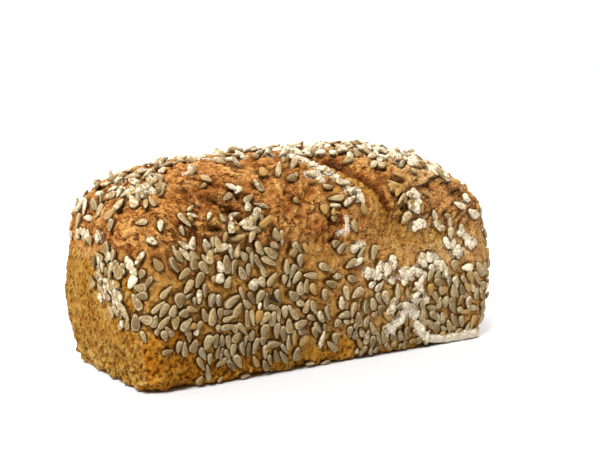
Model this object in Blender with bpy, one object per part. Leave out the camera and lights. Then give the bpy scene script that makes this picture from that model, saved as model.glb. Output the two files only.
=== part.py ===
"""Spelt loaf baked in a long tin and rolled in hulled sunflower kernels.

The crumb and crust are one solid: a rounded tin shape that leans out towards the rim,
with a dome of risen dough above it. A crevice and a long tear run over the dome. The
kernels are baked into the crust, so they are joined to it.

Metres, +Z up. The origin is the middle of the flat base. +X runs along the loaf, and
the side at -Y is the one with the tear.
"""

import math
import random

import bmesh
import bpy
from mathutils import Matrix, Vector, noise
from mathutils.bvhtree import BVHTree

# Tin part of the loaf
BASE_LENGTH = 0.250
BASE_WIDTH = 0.100
RIM_HEIGHT = 0.0772
END_LEAN = 0.119
SIDE_LEAN = 0.056
SWELL = 0.0042
BASE_CORNER_RADIUS = 0.0097
RIM_CORNER_RADIUS = 0.0276
BASE_EDGE_RADIUS = 0.004
LOWER_RINGS_PULLED_DOWN = 1.3

# Dome of risen dough
DOME_HEIGHT = 0.1294
DOME_TILT = (0.031, -0.037, -0.045)
LENGTHWISE_SQUARENESS_LEFT = 0.416
LENGTHWISE_SQUARENESS_RIGHT = 0.546
CROSSWISE_SQUARENESS = 0.79
DOME_RISE_SQUARENESS = 0.81
DOME_CORNER_SHARE = 0.9
DOME_ROUNDING_RATE = 1.6

# Marks on the dome, as distance along the loaf and arc up from the rim
ARC_AXIS_HEIGHT = 0.070
ARC_RADIUS = 0.060
CREVICE = ((-0.086, 0.041), (-0.077, 0.033), (-0.068, 0.027), (-0.055, 0.019))
CREVICE_DEPTH = 0.0055
CREVICE_HALF_WIDTH = 0.0050
CREVICE_LEAST_SHARE = 0.3
LOBE_LIFT = 0.0024
LOBE_REACH = 0.026
TEAR = ((-0.006, 0.074), (0.020, 0.052), (0.040, 0.038), (0.054, 0.020), (0.090, 0.010))
TEAR_DEPTH = 0.0030
TEAR_HALF_WIDTH = 0.0045
TEAR_OPENS_RATE = 5
TEAR_CLOSES_RATE = 3
FLAP_LIFT = 0.0032
FLAP_REACH = 0.030
LUMP_SIZE = 0.034
LUMP_HEIGHT = 0.0016
SMALL_LUMP_SHARE = 0.5

# Grid of the crust before it is simplified
CELLS_LONG = 110
CELLS_WIDE = 48
CELLS_HIGH = 30
CRUST_TRIANGLES = 2800
FLAT_WITHIN = 0.0004

# Sunflower kernels
KERNEL_LENGTH = (0.0086, 0.0106)
KERNEL_WIDTH_SHARE = 0.58
KERNEL_THICK_SHARE = 0.38
KERNEL_SIDES = 6
KERNEL_RINGS = 3
KERNEL_TIP_SHARE = 0.42
KERNEL_RAISED_SHARE = 0.12
KERNEL_SPACING = 0.0128
KERNEL_TRIES = 4200
KERNEL_MOST = 202
KERNEL_SPREAD = math.radians(45)
KERNEL_LOWEST = 0.0030
SEED = 11

# Crust without kernels at the foot of a side, along +X on the -Y side
BARE_LOW = 0.0100
BARE_AT_END = 0.0360
BARE_END_FROM = -0.088
BARE_END_RUN = 0.022
BARE_TONGUE = 0.0100
BARE_TONGUE_AT = 0.000
BARE_TONGUE_HALF = 0.018
BARE_STOPS_AT = 0.020
KERNELS_FROM = 0.0060

# Kernels on the ends and on the dome
UNDERSIDE_FACING = -0.5
END_FACING = 0.75
DOME_FROM = 1.1
CLEAR_BELOW_TEAR = 0.030
CLEAR_FROM = -0.02
SHARE_BELOW_TEAR = 0.05
SHARE_ON_DOME = 0.6


def clamp(value, low, high):
    return max(low, min(high, value))


def ease(value):
    """0 to 1 with a soft start and end."""
    share = clamp(value, 0.0, 1.0)
    return share * share * (3.0 - 2.0 * share)


def rounded_outline(half_length, half_width, radius, along, across):
    """A point of a rounded rectangle, for a point of the square that runs from -1 to 1."""
    radius = min(radius, 0.98 * half_length, 0.98 * half_width)
    sharp = Vector((half_length * along, half_width * across))
    inner = Vector((
        clamp(sharp.x, radius - half_length, half_length - radius),
        clamp(sharp.y, radius - half_width, half_width - radius),
    ))
    out = sharp - inner
    if out.length < 1e-9:
        return sharp
    return inner + out.normalized() * radius


def loaf_point(u, v, w):
    """Where a point of the cube's surface lies on the plain loaf. Its top face becomes the dome."""
    ring = max(abs(u), abs(v))
    if abs(w) < 1.0 - 1e-9:
        return wall_point(u, v, (w + 1.0) / 2.0)
    if ring < 1e-9:
        return Vector((0.0, 0.0, DOME_HEIGHT if w > 0 else 0.0))
    along, across = u / ring, v / ring
    if w < 0:
        flat = rounded_outline(*base_half_sizes(), BASE_CORNER_RADIUS, along, across) * ring
        return Vector((flat.x, flat.y, 0.0))
    return dome_point(along, across, ring)


def base_half_sizes():
    return BASE_LENGTH / 2 - BASE_EDGE_RADIUS, BASE_WIDTH / 2 - BASE_EDGE_RADIUS


def wall_point(u, v, level):
    """A point of the four walls, which lean out and swell a little."""
    share = level ** LOWER_RINGS_PULLED_DOWN
    height = share * RIM_HEIGHT
    swell = SWELL * math.sin(math.pi * share)
    low = clamp(1.0 - height / BASE_EDGE_RADIUS, 0.0, 1.0)
    edge = BASE_EDGE_RADIUS * (1.0 - math.sqrt(1.0 - low * low))
    half_length = BASE_LENGTH / 2 + height * END_LEAN + swell - edge
    half_width = BASE_WIDTH / 2 + height * SIDE_LEAN + swell - edge
    radius = BASE_CORNER_RADIUS + (RIM_CORNER_RADIUS - BASE_CORNER_RADIUS) * share
    flat = rounded_outline(half_length, half_width, radius, u, v)
    return Vector((flat.x, flat.y, height))


def dome_point(along, across, ring):
    """A point of the dome, on the outline that is ring of the way from its middle to the rim."""
    angle = (1.0 - ring) * math.pi / 2
    inward, upward = max(math.cos(angle), 1e-9), math.sin(angle)
    right = ease((along * ring + 1.0) / 2.0)
    squareness = LENGTHWISE_SQUARENESS_LEFT * (1 - right) + LENGTHWISE_SQUARENESS_RIGHT * right
    rim_length = BASE_LENGTH / 2 + RIM_HEIGHT * END_LEAN
    rim_width = BASE_WIDTH / 2 + RIM_HEIGHT * SIDE_LEAN
    half_length = rim_length * inward ** squareness
    half_width = rim_width * inward ** CROSSWISE_SQUARENESS
    reach = half_length * along / rim_length
    first, second, third = DOME_TILT
    peak = DOME_HEIGHT * (1 + first * reach + second * reach ** 2 + third * reach ** 3)
    height = RIM_HEIGHT + (peak - RIM_HEIGHT) * upward ** DOME_RISE_SQUARENESS
    rounding = ease((1.0 - ring) * DOME_ROUNDING_RATE)
    radius = RIM_CORNER_RADIUS + (DOME_CORNER_SHARE * half_width - RIM_CORNER_RADIUS) * rounding
    flat = rounded_outline(half_length, half_width, radius, along, across)
    return Vector((flat.x, flat.y, height))


def arc_place(point):
    """Distance along the loaf, and arc from the rim of the -Y side up over the dome."""
    return Vector((point.x, ARC_RADIUS * math.atan2(point.z - ARC_AXIS_HEIGHT, -point.y)))


def beside(place, route):
    """Distance to a route, which side of it the place is on (1 is up), and how far along it."""
    best = (1e9, 0.0, 0.0)
    for index in range(len(route) - 1):
        start, end = Vector(route[index]), Vector(route[index + 1])
        run = end - start
        share = clamp((place - start).dot(run) / run.length_squared, 0.0, 1.0)
        gap = place - (start + run * share)
        if gap.length < best[0]:
            side = 1.0 if run.x * gap.y - run.y * gap.x > 0 else -1.0
            best = (gap.length, side, (index + share) / (len(route) - 1))
    return best


def relief(point):
    """How far the crust stands out from the plain loaf at a point."""
    place = arc_place(point)
    tall = ease(point.z / (RIM_HEIGHT / 2))
    lumps = noise.noise(point / LUMP_SIZE) + SMALL_LUMP_SHARE * noise.noise(point / (LUMP_SIZE / 2))
    height = LUMP_HEIGHT * lumps * tall
    gap, side, along = beside(place, CREVICE)
    middle = math.sin(math.pi * along)
    height -= CREVICE_DEPTH * max(middle, CREVICE_LEAST_SHARE) * bell(gap / CREVICE_HALF_WIDTH)
    if side < 0:
        height += LOBE_LIFT * middle * ease(gap / CREVICE_HALF_WIDTH) * (1 - ease(gap / LOBE_REACH))
    gap, side, along = beside(place, TEAR)
    ends = ease(along * TEAR_OPENS_RATE) * ease((1 - along) * TEAR_CLOSES_RATE)
    height -= TEAR_DEPTH * ends * bell(gap / TEAR_HALF_WIDTH)
    if side > 0:
        height += FLAP_LIFT * ends * ease(gap / TEAR_HALF_WIDTH) * (1 - ease(gap / FLAP_REACH))
    return height


def bell(share):
    return math.exp(-share * share)


def divide(mesh, axis, cells):
    """Cuts every edge that runs along one axis of the cube."""
    edges = []
    for edge in mesh.edges:
        run = edge.verts[1].co - edge.verts[0].co
        if abs(run[axis]) > 0.9 * run.length:
            edges.append(edge)
    bmesh.ops.subdivide_edges(mesh, edges=edges, cuts=cells - 1, use_grid_fill=True)


def merge_flat_base(mesh):
    """One face in place of the grid under the loaf."""
    flat = [face for face in mesh.faces if all(vert.co.z < 1e-9 for vert in face.verts)]
    bmesh.ops.dissolve_faces(mesh, faces=flat, use_verts=True)


def make_crust(collection, material):
    """A cube with a grid on it, moved onto the loaf and given its relief."""
    mesh = bmesh.new()
    bmesh.ops.create_cube(mesh, size=2.0)
    for axis, cells in enumerate((CELLS_LONG, CELLS_WIDE, CELLS_HIGH)):
        divide(mesh, axis, cells)
    for vert in mesh.verts:
        vert.co = loaf_point(*vert.co)
    mesh.normal_update()
    moves = [vert.normal * relief(vert.co) for vert in mesh.verts]
    for vert, move in zip(mesh.verts, moves):
        if vert.co.z > 1e-9:
            vert.co += move
    merge_flat_base(mesh)
    data = bpy.data.meshes.new("loaf")
    mesh.to_mesh(data)
    mesh.free()
    data.materials.append(material)
    loaf = bpy.data.objects.new("loaf", data)
    collection.objects.link(loaf)
    simplify(loaf)
    loaf.data.shade_smooth()
    return loaf


def simplify(loaf):
    """Keeps the crust's form with far fewer triangles, and its base exactly flat."""
    loaf.data.calc_loop_triangles()
    fewer = loaf.modifiers.new("fewer", "DECIMATE")
    fewer.ratio = CRUST_TRIANGLES / len(loaf.data.loop_triangles)
    apply_modifiers(loaf)
    for vert in loaf.data.vertices:
        if vert.co.z < FLAT_WITHIN:
            vert.co.z = 0.0


def apply_modifiers(thing):
    graph = bpy.context.evaluated_depsgraph_get()
    result = bpy.data.meshes.new_from_object(thing.evaluated_get(graph))
    thing.modifiers.clear()
    thing.data = result


def kernel_mesh():
    """A kernel 1 long: flat, round at one end and pointed at the other, along X."""
    mesh = bmesh.new()
    bmesh.ops.create_uvsphere(mesh, u_segments=KERNEL_SIDES, v_segments=KERNEL_RINGS, radius=0.5)
    bmesh.ops.rotate(mesh, verts=mesh.verts, matrix=Matrix.Rotation(math.pi / 2, 3, "Y"))
    for vert in mesh.verts:
        narrowing = 1.0 - KERNEL_TIP_SHARE * ease(vert.co.x + 0.5)
        vert.co.y *= KERNEL_WIDTH_SHARE * narrowing
        vert.co.z *= KERNEL_THICK_SHARE * narrowing
    data = bpy.data.meshes.new("kernel")
    mesh.to_mesh(data)
    mesh.free()
    return data


def bare_height(along):
    """How high the kernel-free crust reaches from the base of a side."""
    low = BARE_LOW + (BARE_AT_END - BARE_LOW) * ease((BARE_END_FROM - along) / BARE_END_RUN)
    tongue = BARE_TONGUE * bell((along - BARE_TONGUE_AT) / BARE_TONGUE_HALF)
    return low + tongue if along < BARE_STOPS_AT else KERNELS_FROM


def share_of_kernels(point, normal):
    """How thickly the kernels lie at a point, from 0 to 1."""
    along = point.x if point.y < 0 else -point.x
    if normal.z < UNDERSIDE_FACING or point.z < bare_height(along):
        return 0.0
    if abs(normal.x) > END_FACING:
        return 1.0 if point.z > RIM_HEIGHT else 0.0
    if point.z < RIM_HEIGHT * DOME_FROM:
        return 1.0
    place = arc_place(point)
    gap, side, _ = beside(place, TEAR)
    if side < 0 and gap < CLEAR_BELOW_TEAR and place.x > CLEAR_FROM:
        return SHARE_BELOW_TEAR
    return SHARE_ON_DOME


def surface_places(loaf, rng):
    """Points spread over the crust, each with its normal, at least KERNEL_SPACING apart."""
    mesh = bmesh.new()
    mesh.from_mesh(loaf.data)
    bmesh.ops.triangulate(mesh, faces=mesh.faces)
    tree = BVHTree.FromBMesh(mesh)
    faces = sorted(mesh.faces, key=lambda face: face.index)
    areas = [face.calc_area() for face in faces]
    places = []
    for face in rng.choices(faces, weights=areas, k=KERNEL_TRIES):
        a, b, c = (vert.co for vert in face.verts)
        first, second = sorted((rng.random(), rng.random()))
        point = a * first + b * (second - first) + c * (1 - second)
        chosen = rng.random() < share_of_kernels(point, face.normal)
        apart = all((point - other).length > KERNEL_SPACING for other, _ in places)
        if chosen and apart and len(places) < KERNEL_MOST:
            _, normal, _, _ = tree.find_nearest(point)
            places.append((point.copy(), normal))
    mesh.free()
    return places


def lie_on(point, normal, turn, length):
    """A matrix that lays a kernel flat on the crust, turned from upright by an angle."""
    up = Vector((0, 0, 1)) if abs(normal.z) < 0.9 else Vector((0, 1, 0))
    across = up.cross(normal).normalized()
    upright = normal.cross(across)
    along = (upright * math.cos(turn) + across * math.sin(turn)).normalized()
    side = normal.cross(along)
    raised = point + normal * (KERNEL_RAISED_SHARE * KERNEL_THICK_SHARE * length)
    basis = Matrix((along, side, normal)).transposed().to_4x4()
    return Matrix.Translation(raised) @ basis @ Matrix.Scale(length, 4)


def place_kernels(loaf, collection):
    """Lays the kernels on the crust, the largest first."""
    rng = random.Random(SEED)
    shared = kernel_mesh()
    places = surface_places(loaf, rng)
    lengths = sorted((rng.uniform(*KERNEL_LENGTH) for _ in places), reverse=True)
    for index, ((point, normal), length) in enumerate(zip(places, lengths)):
        turn = rng.gauss(0.0, KERNEL_SPREAD)
        matrix = lie_on(point, normal, turn, length)
        lowest = min((matrix @ vert.co).z for vert in shared.vertices)
        if lowest < KERNEL_LOWEST:
            continue
        kernel = bpy.data.objects.new(f"kernel_{index}", shared)
        kernel.matrix_world = matrix
        collection.objects.link(kernel)


def join_kernels(loaf, kernels):
    """Joins the kernels to the crust with one union, and removes them."""
    union = loaf.modifiers.new("kernels", "BOOLEAN")
    union.operation = "UNION"
    union.operand_type = "COLLECTION"
    union.collection = kernels
    union.solver = "MANIFOLD"
    apply_modifiers(loaf)
    for kernel in list(kernels.objects):
        bpy.data.objects.remove(kernel)
    bpy.data.collections.remove(kernels)


def crust_material():
    material = bpy.data.materials.new("baked_crust")
    material.use_nodes = True
    shader = material.node_tree.nodes["Principled BSDF"]
    shader.inputs["Base Color"].default_value = (0.44, 0.24, 0.085, 1.0)
    shader.inputs["Roughness"].default_value = 0.75
    shader.inputs["Metallic"].default_value = 0.0
    return material


def main():
    for old in list(bpy.data.objects):
        bpy.data.objects.remove(old)
    parts = bpy.data.collections.new("spelt_loaf")
    kernels = bpy.data.collections.new("kernels")
    bpy.context.scene.collection.children.link(parts)
    bpy.context.scene.collection.children.link(kernels)
    loaf = make_crust(parts, crust_material())
    place_kernels(loaf, kernels)
    join_kernels(loaf, kernels)


main()
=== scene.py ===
# %% [markdown]
# # A spelt loaf in a coat of sunflower kernels
#
# The loaf was proved and baked in a long tin. The tin gave it flat, porous, golden walls
# that lean out a little. Above the rim the dough rose into a dome, which dried, cracked
# and browned. Before baking it was rolled in hulled kernels, and a little flour stuck.
#
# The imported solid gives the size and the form. This script lays the real surface over it:
# a crust with every pit and tear, about thirteen hundred kernels, and the caked flour.

# %% The solid loaf, and the box that the finished one has to stay in
import math
import random
from collections import namedtuple

import bmesh
import bpy
from mathutils import Matrix, Vector, kdtree, noise
from mathutils.bvhtree import BVHTree


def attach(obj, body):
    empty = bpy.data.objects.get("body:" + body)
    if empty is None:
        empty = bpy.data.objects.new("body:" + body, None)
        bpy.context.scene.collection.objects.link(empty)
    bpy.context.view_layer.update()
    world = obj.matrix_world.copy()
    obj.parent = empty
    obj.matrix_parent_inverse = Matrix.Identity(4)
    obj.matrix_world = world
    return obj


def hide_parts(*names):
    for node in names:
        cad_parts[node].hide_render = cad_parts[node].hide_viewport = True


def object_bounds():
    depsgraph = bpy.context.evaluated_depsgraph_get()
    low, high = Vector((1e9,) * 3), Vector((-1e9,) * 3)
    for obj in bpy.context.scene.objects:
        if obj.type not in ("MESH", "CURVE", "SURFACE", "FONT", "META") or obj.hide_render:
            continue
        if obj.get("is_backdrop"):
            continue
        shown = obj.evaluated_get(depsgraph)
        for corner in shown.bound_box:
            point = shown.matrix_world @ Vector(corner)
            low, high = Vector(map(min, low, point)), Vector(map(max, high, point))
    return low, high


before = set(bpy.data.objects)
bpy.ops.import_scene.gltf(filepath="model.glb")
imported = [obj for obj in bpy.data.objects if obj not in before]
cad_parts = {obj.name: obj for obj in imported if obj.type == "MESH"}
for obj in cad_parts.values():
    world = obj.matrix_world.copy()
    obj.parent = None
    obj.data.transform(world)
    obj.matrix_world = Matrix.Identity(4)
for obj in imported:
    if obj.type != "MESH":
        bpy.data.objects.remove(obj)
solid_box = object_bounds()
MM = 0.001
SEED = 5
noise.seed_set(SEED)  # without it, noise_vector gives another pattern in every run
print("solid loaf in mm:", [round(value / MM, 1) for corner in solid_box for value in corner])

# %% [markdown]
# ## The plain form
#
# A tin loaf is a rounded block below its rim and half a cushion above it. Both can come
# from one cube with a fine grid on it: each point of the cube is sent to its place on the
# loaf. The walls are rounded rectangles that grow towards the rim, and the top face of
# the cube is bent into the dome. The sizes are the ones that the solid was built from.

# %% Sizes of the tin shape and of the dome
BASE_LENGTH, BASE_WIDTH = 250 * MM, 100 * MM
RIM_HEIGHT = 77.2 * MM
END_LEAN, SIDE_LEAN = 0.119, 0.056
SWELL = 4.2 * MM
BASE_CORNER_RADIUS, RIM_CORNER_RADIUS = 9.7 * MM, 27.6 * MM
BASE_EDGE_RADIUS = 4 * MM
LOWER_RINGS_PULLED_DOWN = 1.3
DOME_HEIGHT = 129.4 * MM
DOME_TILT = (0.031, -0.037, -0.045)
SQUARENESS_LEFT, SQUARENESS_RIGHT, SQUARENESS_ACROSS = 0.416, 0.546, 0.79
DOME_RISE_SQUARENESS = 0.81
DOME_CORNER_SHARE, DOME_ROUNDING_RATE = 0.9, 1.6


def clamp(value, low=0.0, high=1.0):
    return max(low, min(high, value))


def ease(value):
    """0 to 1 with a soft start and end."""
    share = clamp(value)
    return share * share * (3.0 - 2.0 * share)


def bell(share):
    """1 at 0, and soon 0 on both sides of it."""
    return math.exp(-share * share)


def wave(point, size):
    """A smooth noise from about -1 to 1, with lumps of the given size."""
    return noise.noise(point / size)


# %% Where a point of the cube lies on the loaf
def rounded_outline(half_length, half_width, radius, along, across):
    """A point of a rounded rectangle, for a point of the square that runs from -1 to 1."""
    radius = min(radius, 0.98 * half_length, 0.98 * half_width)
    sharp = Vector((half_length * along, half_width * across))
    inner = Vector((
        clamp(sharp.x, radius - half_length, half_length - radius),
        clamp(sharp.y, radius - half_width, half_width - radius),
    ))
    out = sharp - inner
    return sharp if out.length < 1e-9 else inner + out.normalized() * radius


def wall_point(u, v, level):
    """A point of the walls: level runs from 0 at the foot to 1 at the rim."""
    share = level ** LOWER_RINGS_PULLED_DOWN
    height = share * RIM_HEIGHT
    swell = SWELL * math.sin(math.pi * share)
    low = clamp(1.0 - height / BASE_EDGE_RADIUS)
    edge = BASE_EDGE_RADIUS * (1.0 - math.sqrt(1.0 - low * low))
    half_length = BASE_LENGTH / 2 + height * END_LEAN + swell - edge
    half_width = BASE_WIDTH / 2 + height * SIDE_LEAN + swell - edge
    radius = BASE_CORNER_RADIUS + (RIM_CORNER_RADIUS - BASE_CORNER_RADIUS) * share
    flat = rounded_outline(half_length, half_width, radius, u, v)
    return Vector((flat.x, flat.y, height))


def dome_point(along, across, ring):
    """A point of the dome: ring runs from 0 at the peak to 1 at the rim."""
    angle = (1.0 - ring) * math.pi / 2
    inward, upward = max(math.cos(angle), 1e-9), math.sin(angle)
    right = ease((along * ring + 1.0) / 2.0)
    squareness = SQUARENESS_LEFT * (1 - right) + SQUARENESS_RIGHT * right
    rim_length = BASE_LENGTH / 2 + RIM_HEIGHT * END_LEAN
    half_length = rim_length * inward ** squareness
    half_width = (BASE_WIDTH / 2 + RIM_HEIGHT * SIDE_LEAN) * inward ** SQUARENESS_ACROSS
    reach = half_length * along / rim_length
    first, second, third = DOME_TILT
    peak = DOME_HEIGHT * (1 + first * reach + second * reach ** 2 + third * reach ** 3)
    height = RIM_HEIGHT + (peak - RIM_HEIGHT) * upward ** DOME_RISE_SQUARENESS
    rounding = ease((1.0 - ring) * DOME_ROUNDING_RATE)
    radius = RIM_CORNER_RADIUS + (DOME_CORNER_SHARE * half_width - RIM_CORNER_RADIUS) * rounding
    flat = rounded_outline(half_length, half_width, radius, along, across)
    return Vector((flat.x, flat.y, height))


def loaf_point(u, v, w):
    ring = max(abs(u), abs(v))
    if abs(w) < 1.0 - 1e-9:
        return wall_point(u, v, (w + 1.0) / 2.0)
    if ring < 1e-9:
        return Vector((0.0, 0.0, DOME_HEIGHT if w > 0 else 0.0))
    if w > 0:
        return dome_point(u / ring, v / ring, ring)
    half_length, half_width = (size / 2 - BASE_EDGE_RADIUS for size in (BASE_LENGTH, BASE_WIDTH))
    flat = rounded_outline(half_length, half_width, BASE_CORNER_RADIUS, u / ring, v / ring) * ring
    return Vector((flat.x, flat.y, 0.0))


# %% A cube with cells of about a millimetre, bent into the loaf
CELLS = (250, 100, 78)
FLAT_INSET = 8 * MM


def divide(mesh, axis, cells):
    """Cuts every edge that runs along one axis of the cube."""
    edges = []
    for edge in mesh.edges:
        run = edge.verts[1].co - edge.verts[0].co
        if abs(run[axis]) > 0.9 * run.length:
            edges.append(edge)
    bmesh.ops.subdivide_edges(mesh, edges=edges, cuts=cells - 1, use_grid_fill=True)


def from_foot(point):
    """How far inside the edge of the base a point lies."""
    return min(BASE_LENGTH / 2 - abs(point.x), BASE_WIDTH / 2 - abs(point.y))


crust = bmesh.new()
bmesh.ops.create_cube(crust, size=2.0)
for axis, cells in enumerate(CELLS):
    divide(crust, axis, cells)
for vert in crust.verts:
    vert.co = loaf_point(*vert.co)
flat = [face for face in crust.faces
        if all(vert.co.z < 1e-9 and from_foot(vert.co) > FLAT_INSET for vert in face.verts)]
bmesh.ops.dissolve_faces(crust, faces=flat, use_verts=True)
crust.verts.index_update()
crust.verts.ensure_lookup_table()
crust.normal_update()
print("crust:", len(crust.verts), "points,", len(crust.faces), "faces")

# %% [markdown]
# ## Places on the crust
#
# Marks on the dome are easiest to give as on a map: how far along the loaf, and how far
# up the arc that starts near the rim of the front. Lower down, the map is simply the
# front seen square on. Every mark, kernel and clump of flour below is given on one of
# these maps in millimetres, and a ray finds the place on the crust.

# %% The arc over the dome, and a distance to a line drawn on it
ARC_AXIS_HEIGHT, ARC_RADIUS = 70 * MM, 60 * MM


def arc_place(point):
    return Vector((point.x, ARC_RADIUS * math.atan2(point.z - ARC_AXIS_HEIGHT, -point.y)))


def beside(place, route):
    """Distance to a route, which side of it the place is on (1 is up), and how far along it."""
    best = (1e9, 0.0, 0.0)
    for index in range(len(route) - 1):
        start, end = Vector(route[index]) * MM, Vector(route[index + 1]) * MM
        run = end - start
        share = clamp((place - start).dot(run) / run.length_squared)
        gap = place - (start + run * share)
        if gap.length < best[0]:
            side = 1.0 if run.x * gap.y - run.y * gap.x > 0 else -1.0
            best = (gap.length, side, (index + share) / (len(route) - 1))
    return best


# %% [markdown]
# ## The shape of the dough
#
# Rising dough doesn't stay smooth. The loaf has broad lumps, a crevice at the left where
# one lobe slid over another, and a long tear to the right where the crust burst late in
# the oven and lifted a flap. These are moves along the surface's normal, so the grid only
# has to be fine enough, and nothing has to be cut or joined.

# %% Lumps, the crevice and the tear
CREVICE = ((-86, 41), (-82.7, 39.5), (-77.7, 38.2), (-75.5, 32.3), (-72.7, 30.5), (-69.5, 27.7),
           (-65, 25.5), (-61, 22), (-55, 19))
TEAR = ((-6, 74), (0.5, 65), (6, 58), (11, 56.4), (16.5, 54), (20.5, 49), (25, 46), (29.6, 41),
        (33.7, 36.8), (37, 31.8), (40.5, 25.5), (43.7, 19.5), (54, 16), (72, 13), (90, 10))
CREVICE_DEPTH, CREVICE_HALF_WIDTH = 8.0 * MM, 3.4 * MM
LOBE_LIFT, LOBE_REACH = 3.6 * MM, 22 * MM
TEAR_DEPTH, TEAR_HALF_WIDTH = 2.8 * MM, 2.2 * MM
FLAP_LIFT, FLAP_REACH = 2.6 * MM, 30 * MM
LEDGE = ((64, 38.5), (75, 38.5), (84, 42), (90, 40), (95, 35), (102, 33), (110, 31))
LEDGE_LIFT, LEDGE_DROP, LEDGE_REACH = 1.1 * MM, 1.5 * MM, 7 * MM
LEDGE_EDGE, LEDGE_START = 1.5 * MM, 0.3
LUMP_SIZE, LUMP_HEIGHT = 34 * MM, 1.9 * MM
SHALLOWEST_CREVICE = 0.3
TEAR_FADES, LEDGE_FADES = (5, 3), (4, 4)
ARCS_WITH_MARKS = (-20 * MM, 100 * MM)
TEAR_RIGHT_OF, LEDGE_RIGHT_OF = -50 * MM, 50 * MM


def faded(along, first, last):
    """1 along a route, and down to 0 at its ends, the faster the larger the two numbers."""
    return ease(along * first) * ease((1 - along) * last)


def big_relief(point, crevice, tear, ledge):
    """How far the dough stands out from the plain form."""
    tall = ease(point.z / (RIM_HEIGHT / 2))
    height = LUMP_HEIGHT * (wave(point, LUMP_SIZE) + 0.5 * wave(point, LUMP_SIZE / 2)) * tall
    gap, side, along = crevice
    middle = math.sin(math.pi * along)
    height -= CREVICE_DEPTH * max(middle, SHALLOWEST_CREVICE) * bell(gap / CREVICE_HALF_WIDTH)
    if side < 0:
        height += LOBE_LIFT * middle * ease(gap / CREVICE_HALF_WIDTH) * (1 - ease(gap / LOBE_REACH))
    gap, side, along = tear
    ends = faded(along, *TEAR_FADES)
    height -= TEAR_DEPTH * ends * bell(gap / TEAR_HALF_WIDTH)
    if side > 0:
        height += FLAP_LIFT * ends * ease(gap / TEAR_HALF_WIDTH) * (1 - ease(gap / FLAP_REACH))
    gap, side, along = ledge
    step = faded(along, *LEDGE_FADES) * (1 - ease(gap / LEDGE_REACH))
    step *= LEDGE_LIFT if side > 0 else -LEDGE_DROP
    return height + step * ease(LEDGE_START + gap / LEDGE_EDGE)


FAR = (1.0, 0.0, 0.0)
near_crevice, near_tear, near_ledge = [], [], []
plain_normal = [vert.normal.copy() for vert in crust.verts]
for vert in crust.verts:
    place = arc_place(vert.co)
    marked = ARCS_WITH_MARKS[0] < place.y < ARCS_WITH_MARKS[1]
    near_crevice.append(beside(place, CREVICE) if marked and place.x < 0 else FAR)
    near_tear.append(beside(place, TEAR) if marked and place.x > TEAR_RIGHT_OF else FAR)
    near_ledge.append(beside(place, LEDGE) if marked and place.x > LEDGE_RIGHT_OF else FAR)
for vert, out, *near in zip(crust.verts, plain_normal, near_crevice, near_tear, near_ledge):
    if vert.co.z > 1e-9:
        vert.co += out * big_relief(vert.co, *near)
crust.normal_update()
dough = BVHTree.FromBMesh(crust)
print("dough:", len(near_crevice), "points moved")

# %% [markdown]
# ## Finding a spot
#
# A spot is a point on the dough with three directions: across (to the right when one
# looks at that face), upright, and out. Everything that lies on the loaf is placed with
# one, so it keeps its lie on any face.

# %% Spots on the front, on the left end and on the dome
Spot = namedtuple("Spot", "point across upright out")
FAR_OUT = 300 * MM
FLAT_ABOVE, SIDE_BELOW = 0.75, 0.35


def spot_at(point, out):
    """The directions at a point: across is level, or along the loaf where the crust lies flat."""
    if out.z > FLAT_ABOVE or abs(out.x) < SIDE_BELOW:
        level = Vector((1.0, 0.0, 0.0)) * (-1.0 if out.y > 0 and out.z < 0.5 else 1.0)
        across = (level - out * level.dot(out)).normalized()
    else:
        across = Vector((0.0, 0.0, 1.0)).cross(out).normalized()
    return Spot(point, across, out.cross(across), out)


def shot(start, toward):
    """The spot where a ray from outside meets the dough."""
    point, out, _, _ = dough.ray_cast(start, toward.normalized())
    return spot_at(point, out)


def on_front(x, z):
    return shot(Vector((x * MM, -FAR_OUT, z * MM)), Vector((0, 1, 0)))


def on_left_end(y, z):
    return shot(Vector((-FAR_OUT, y * MM, z * MM)), Vector((1, 0, 0)))


def on_dome(x, arc):
    angle = arc * MM / ARC_RADIUS
    out = Vector((0.0, -math.cos(angle), math.sin(angle)))
    return shot(Vector((x * MM, 0.0, ARC_AXIS_HEIGHT)) + out * FAR_OUT, -out)
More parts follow.
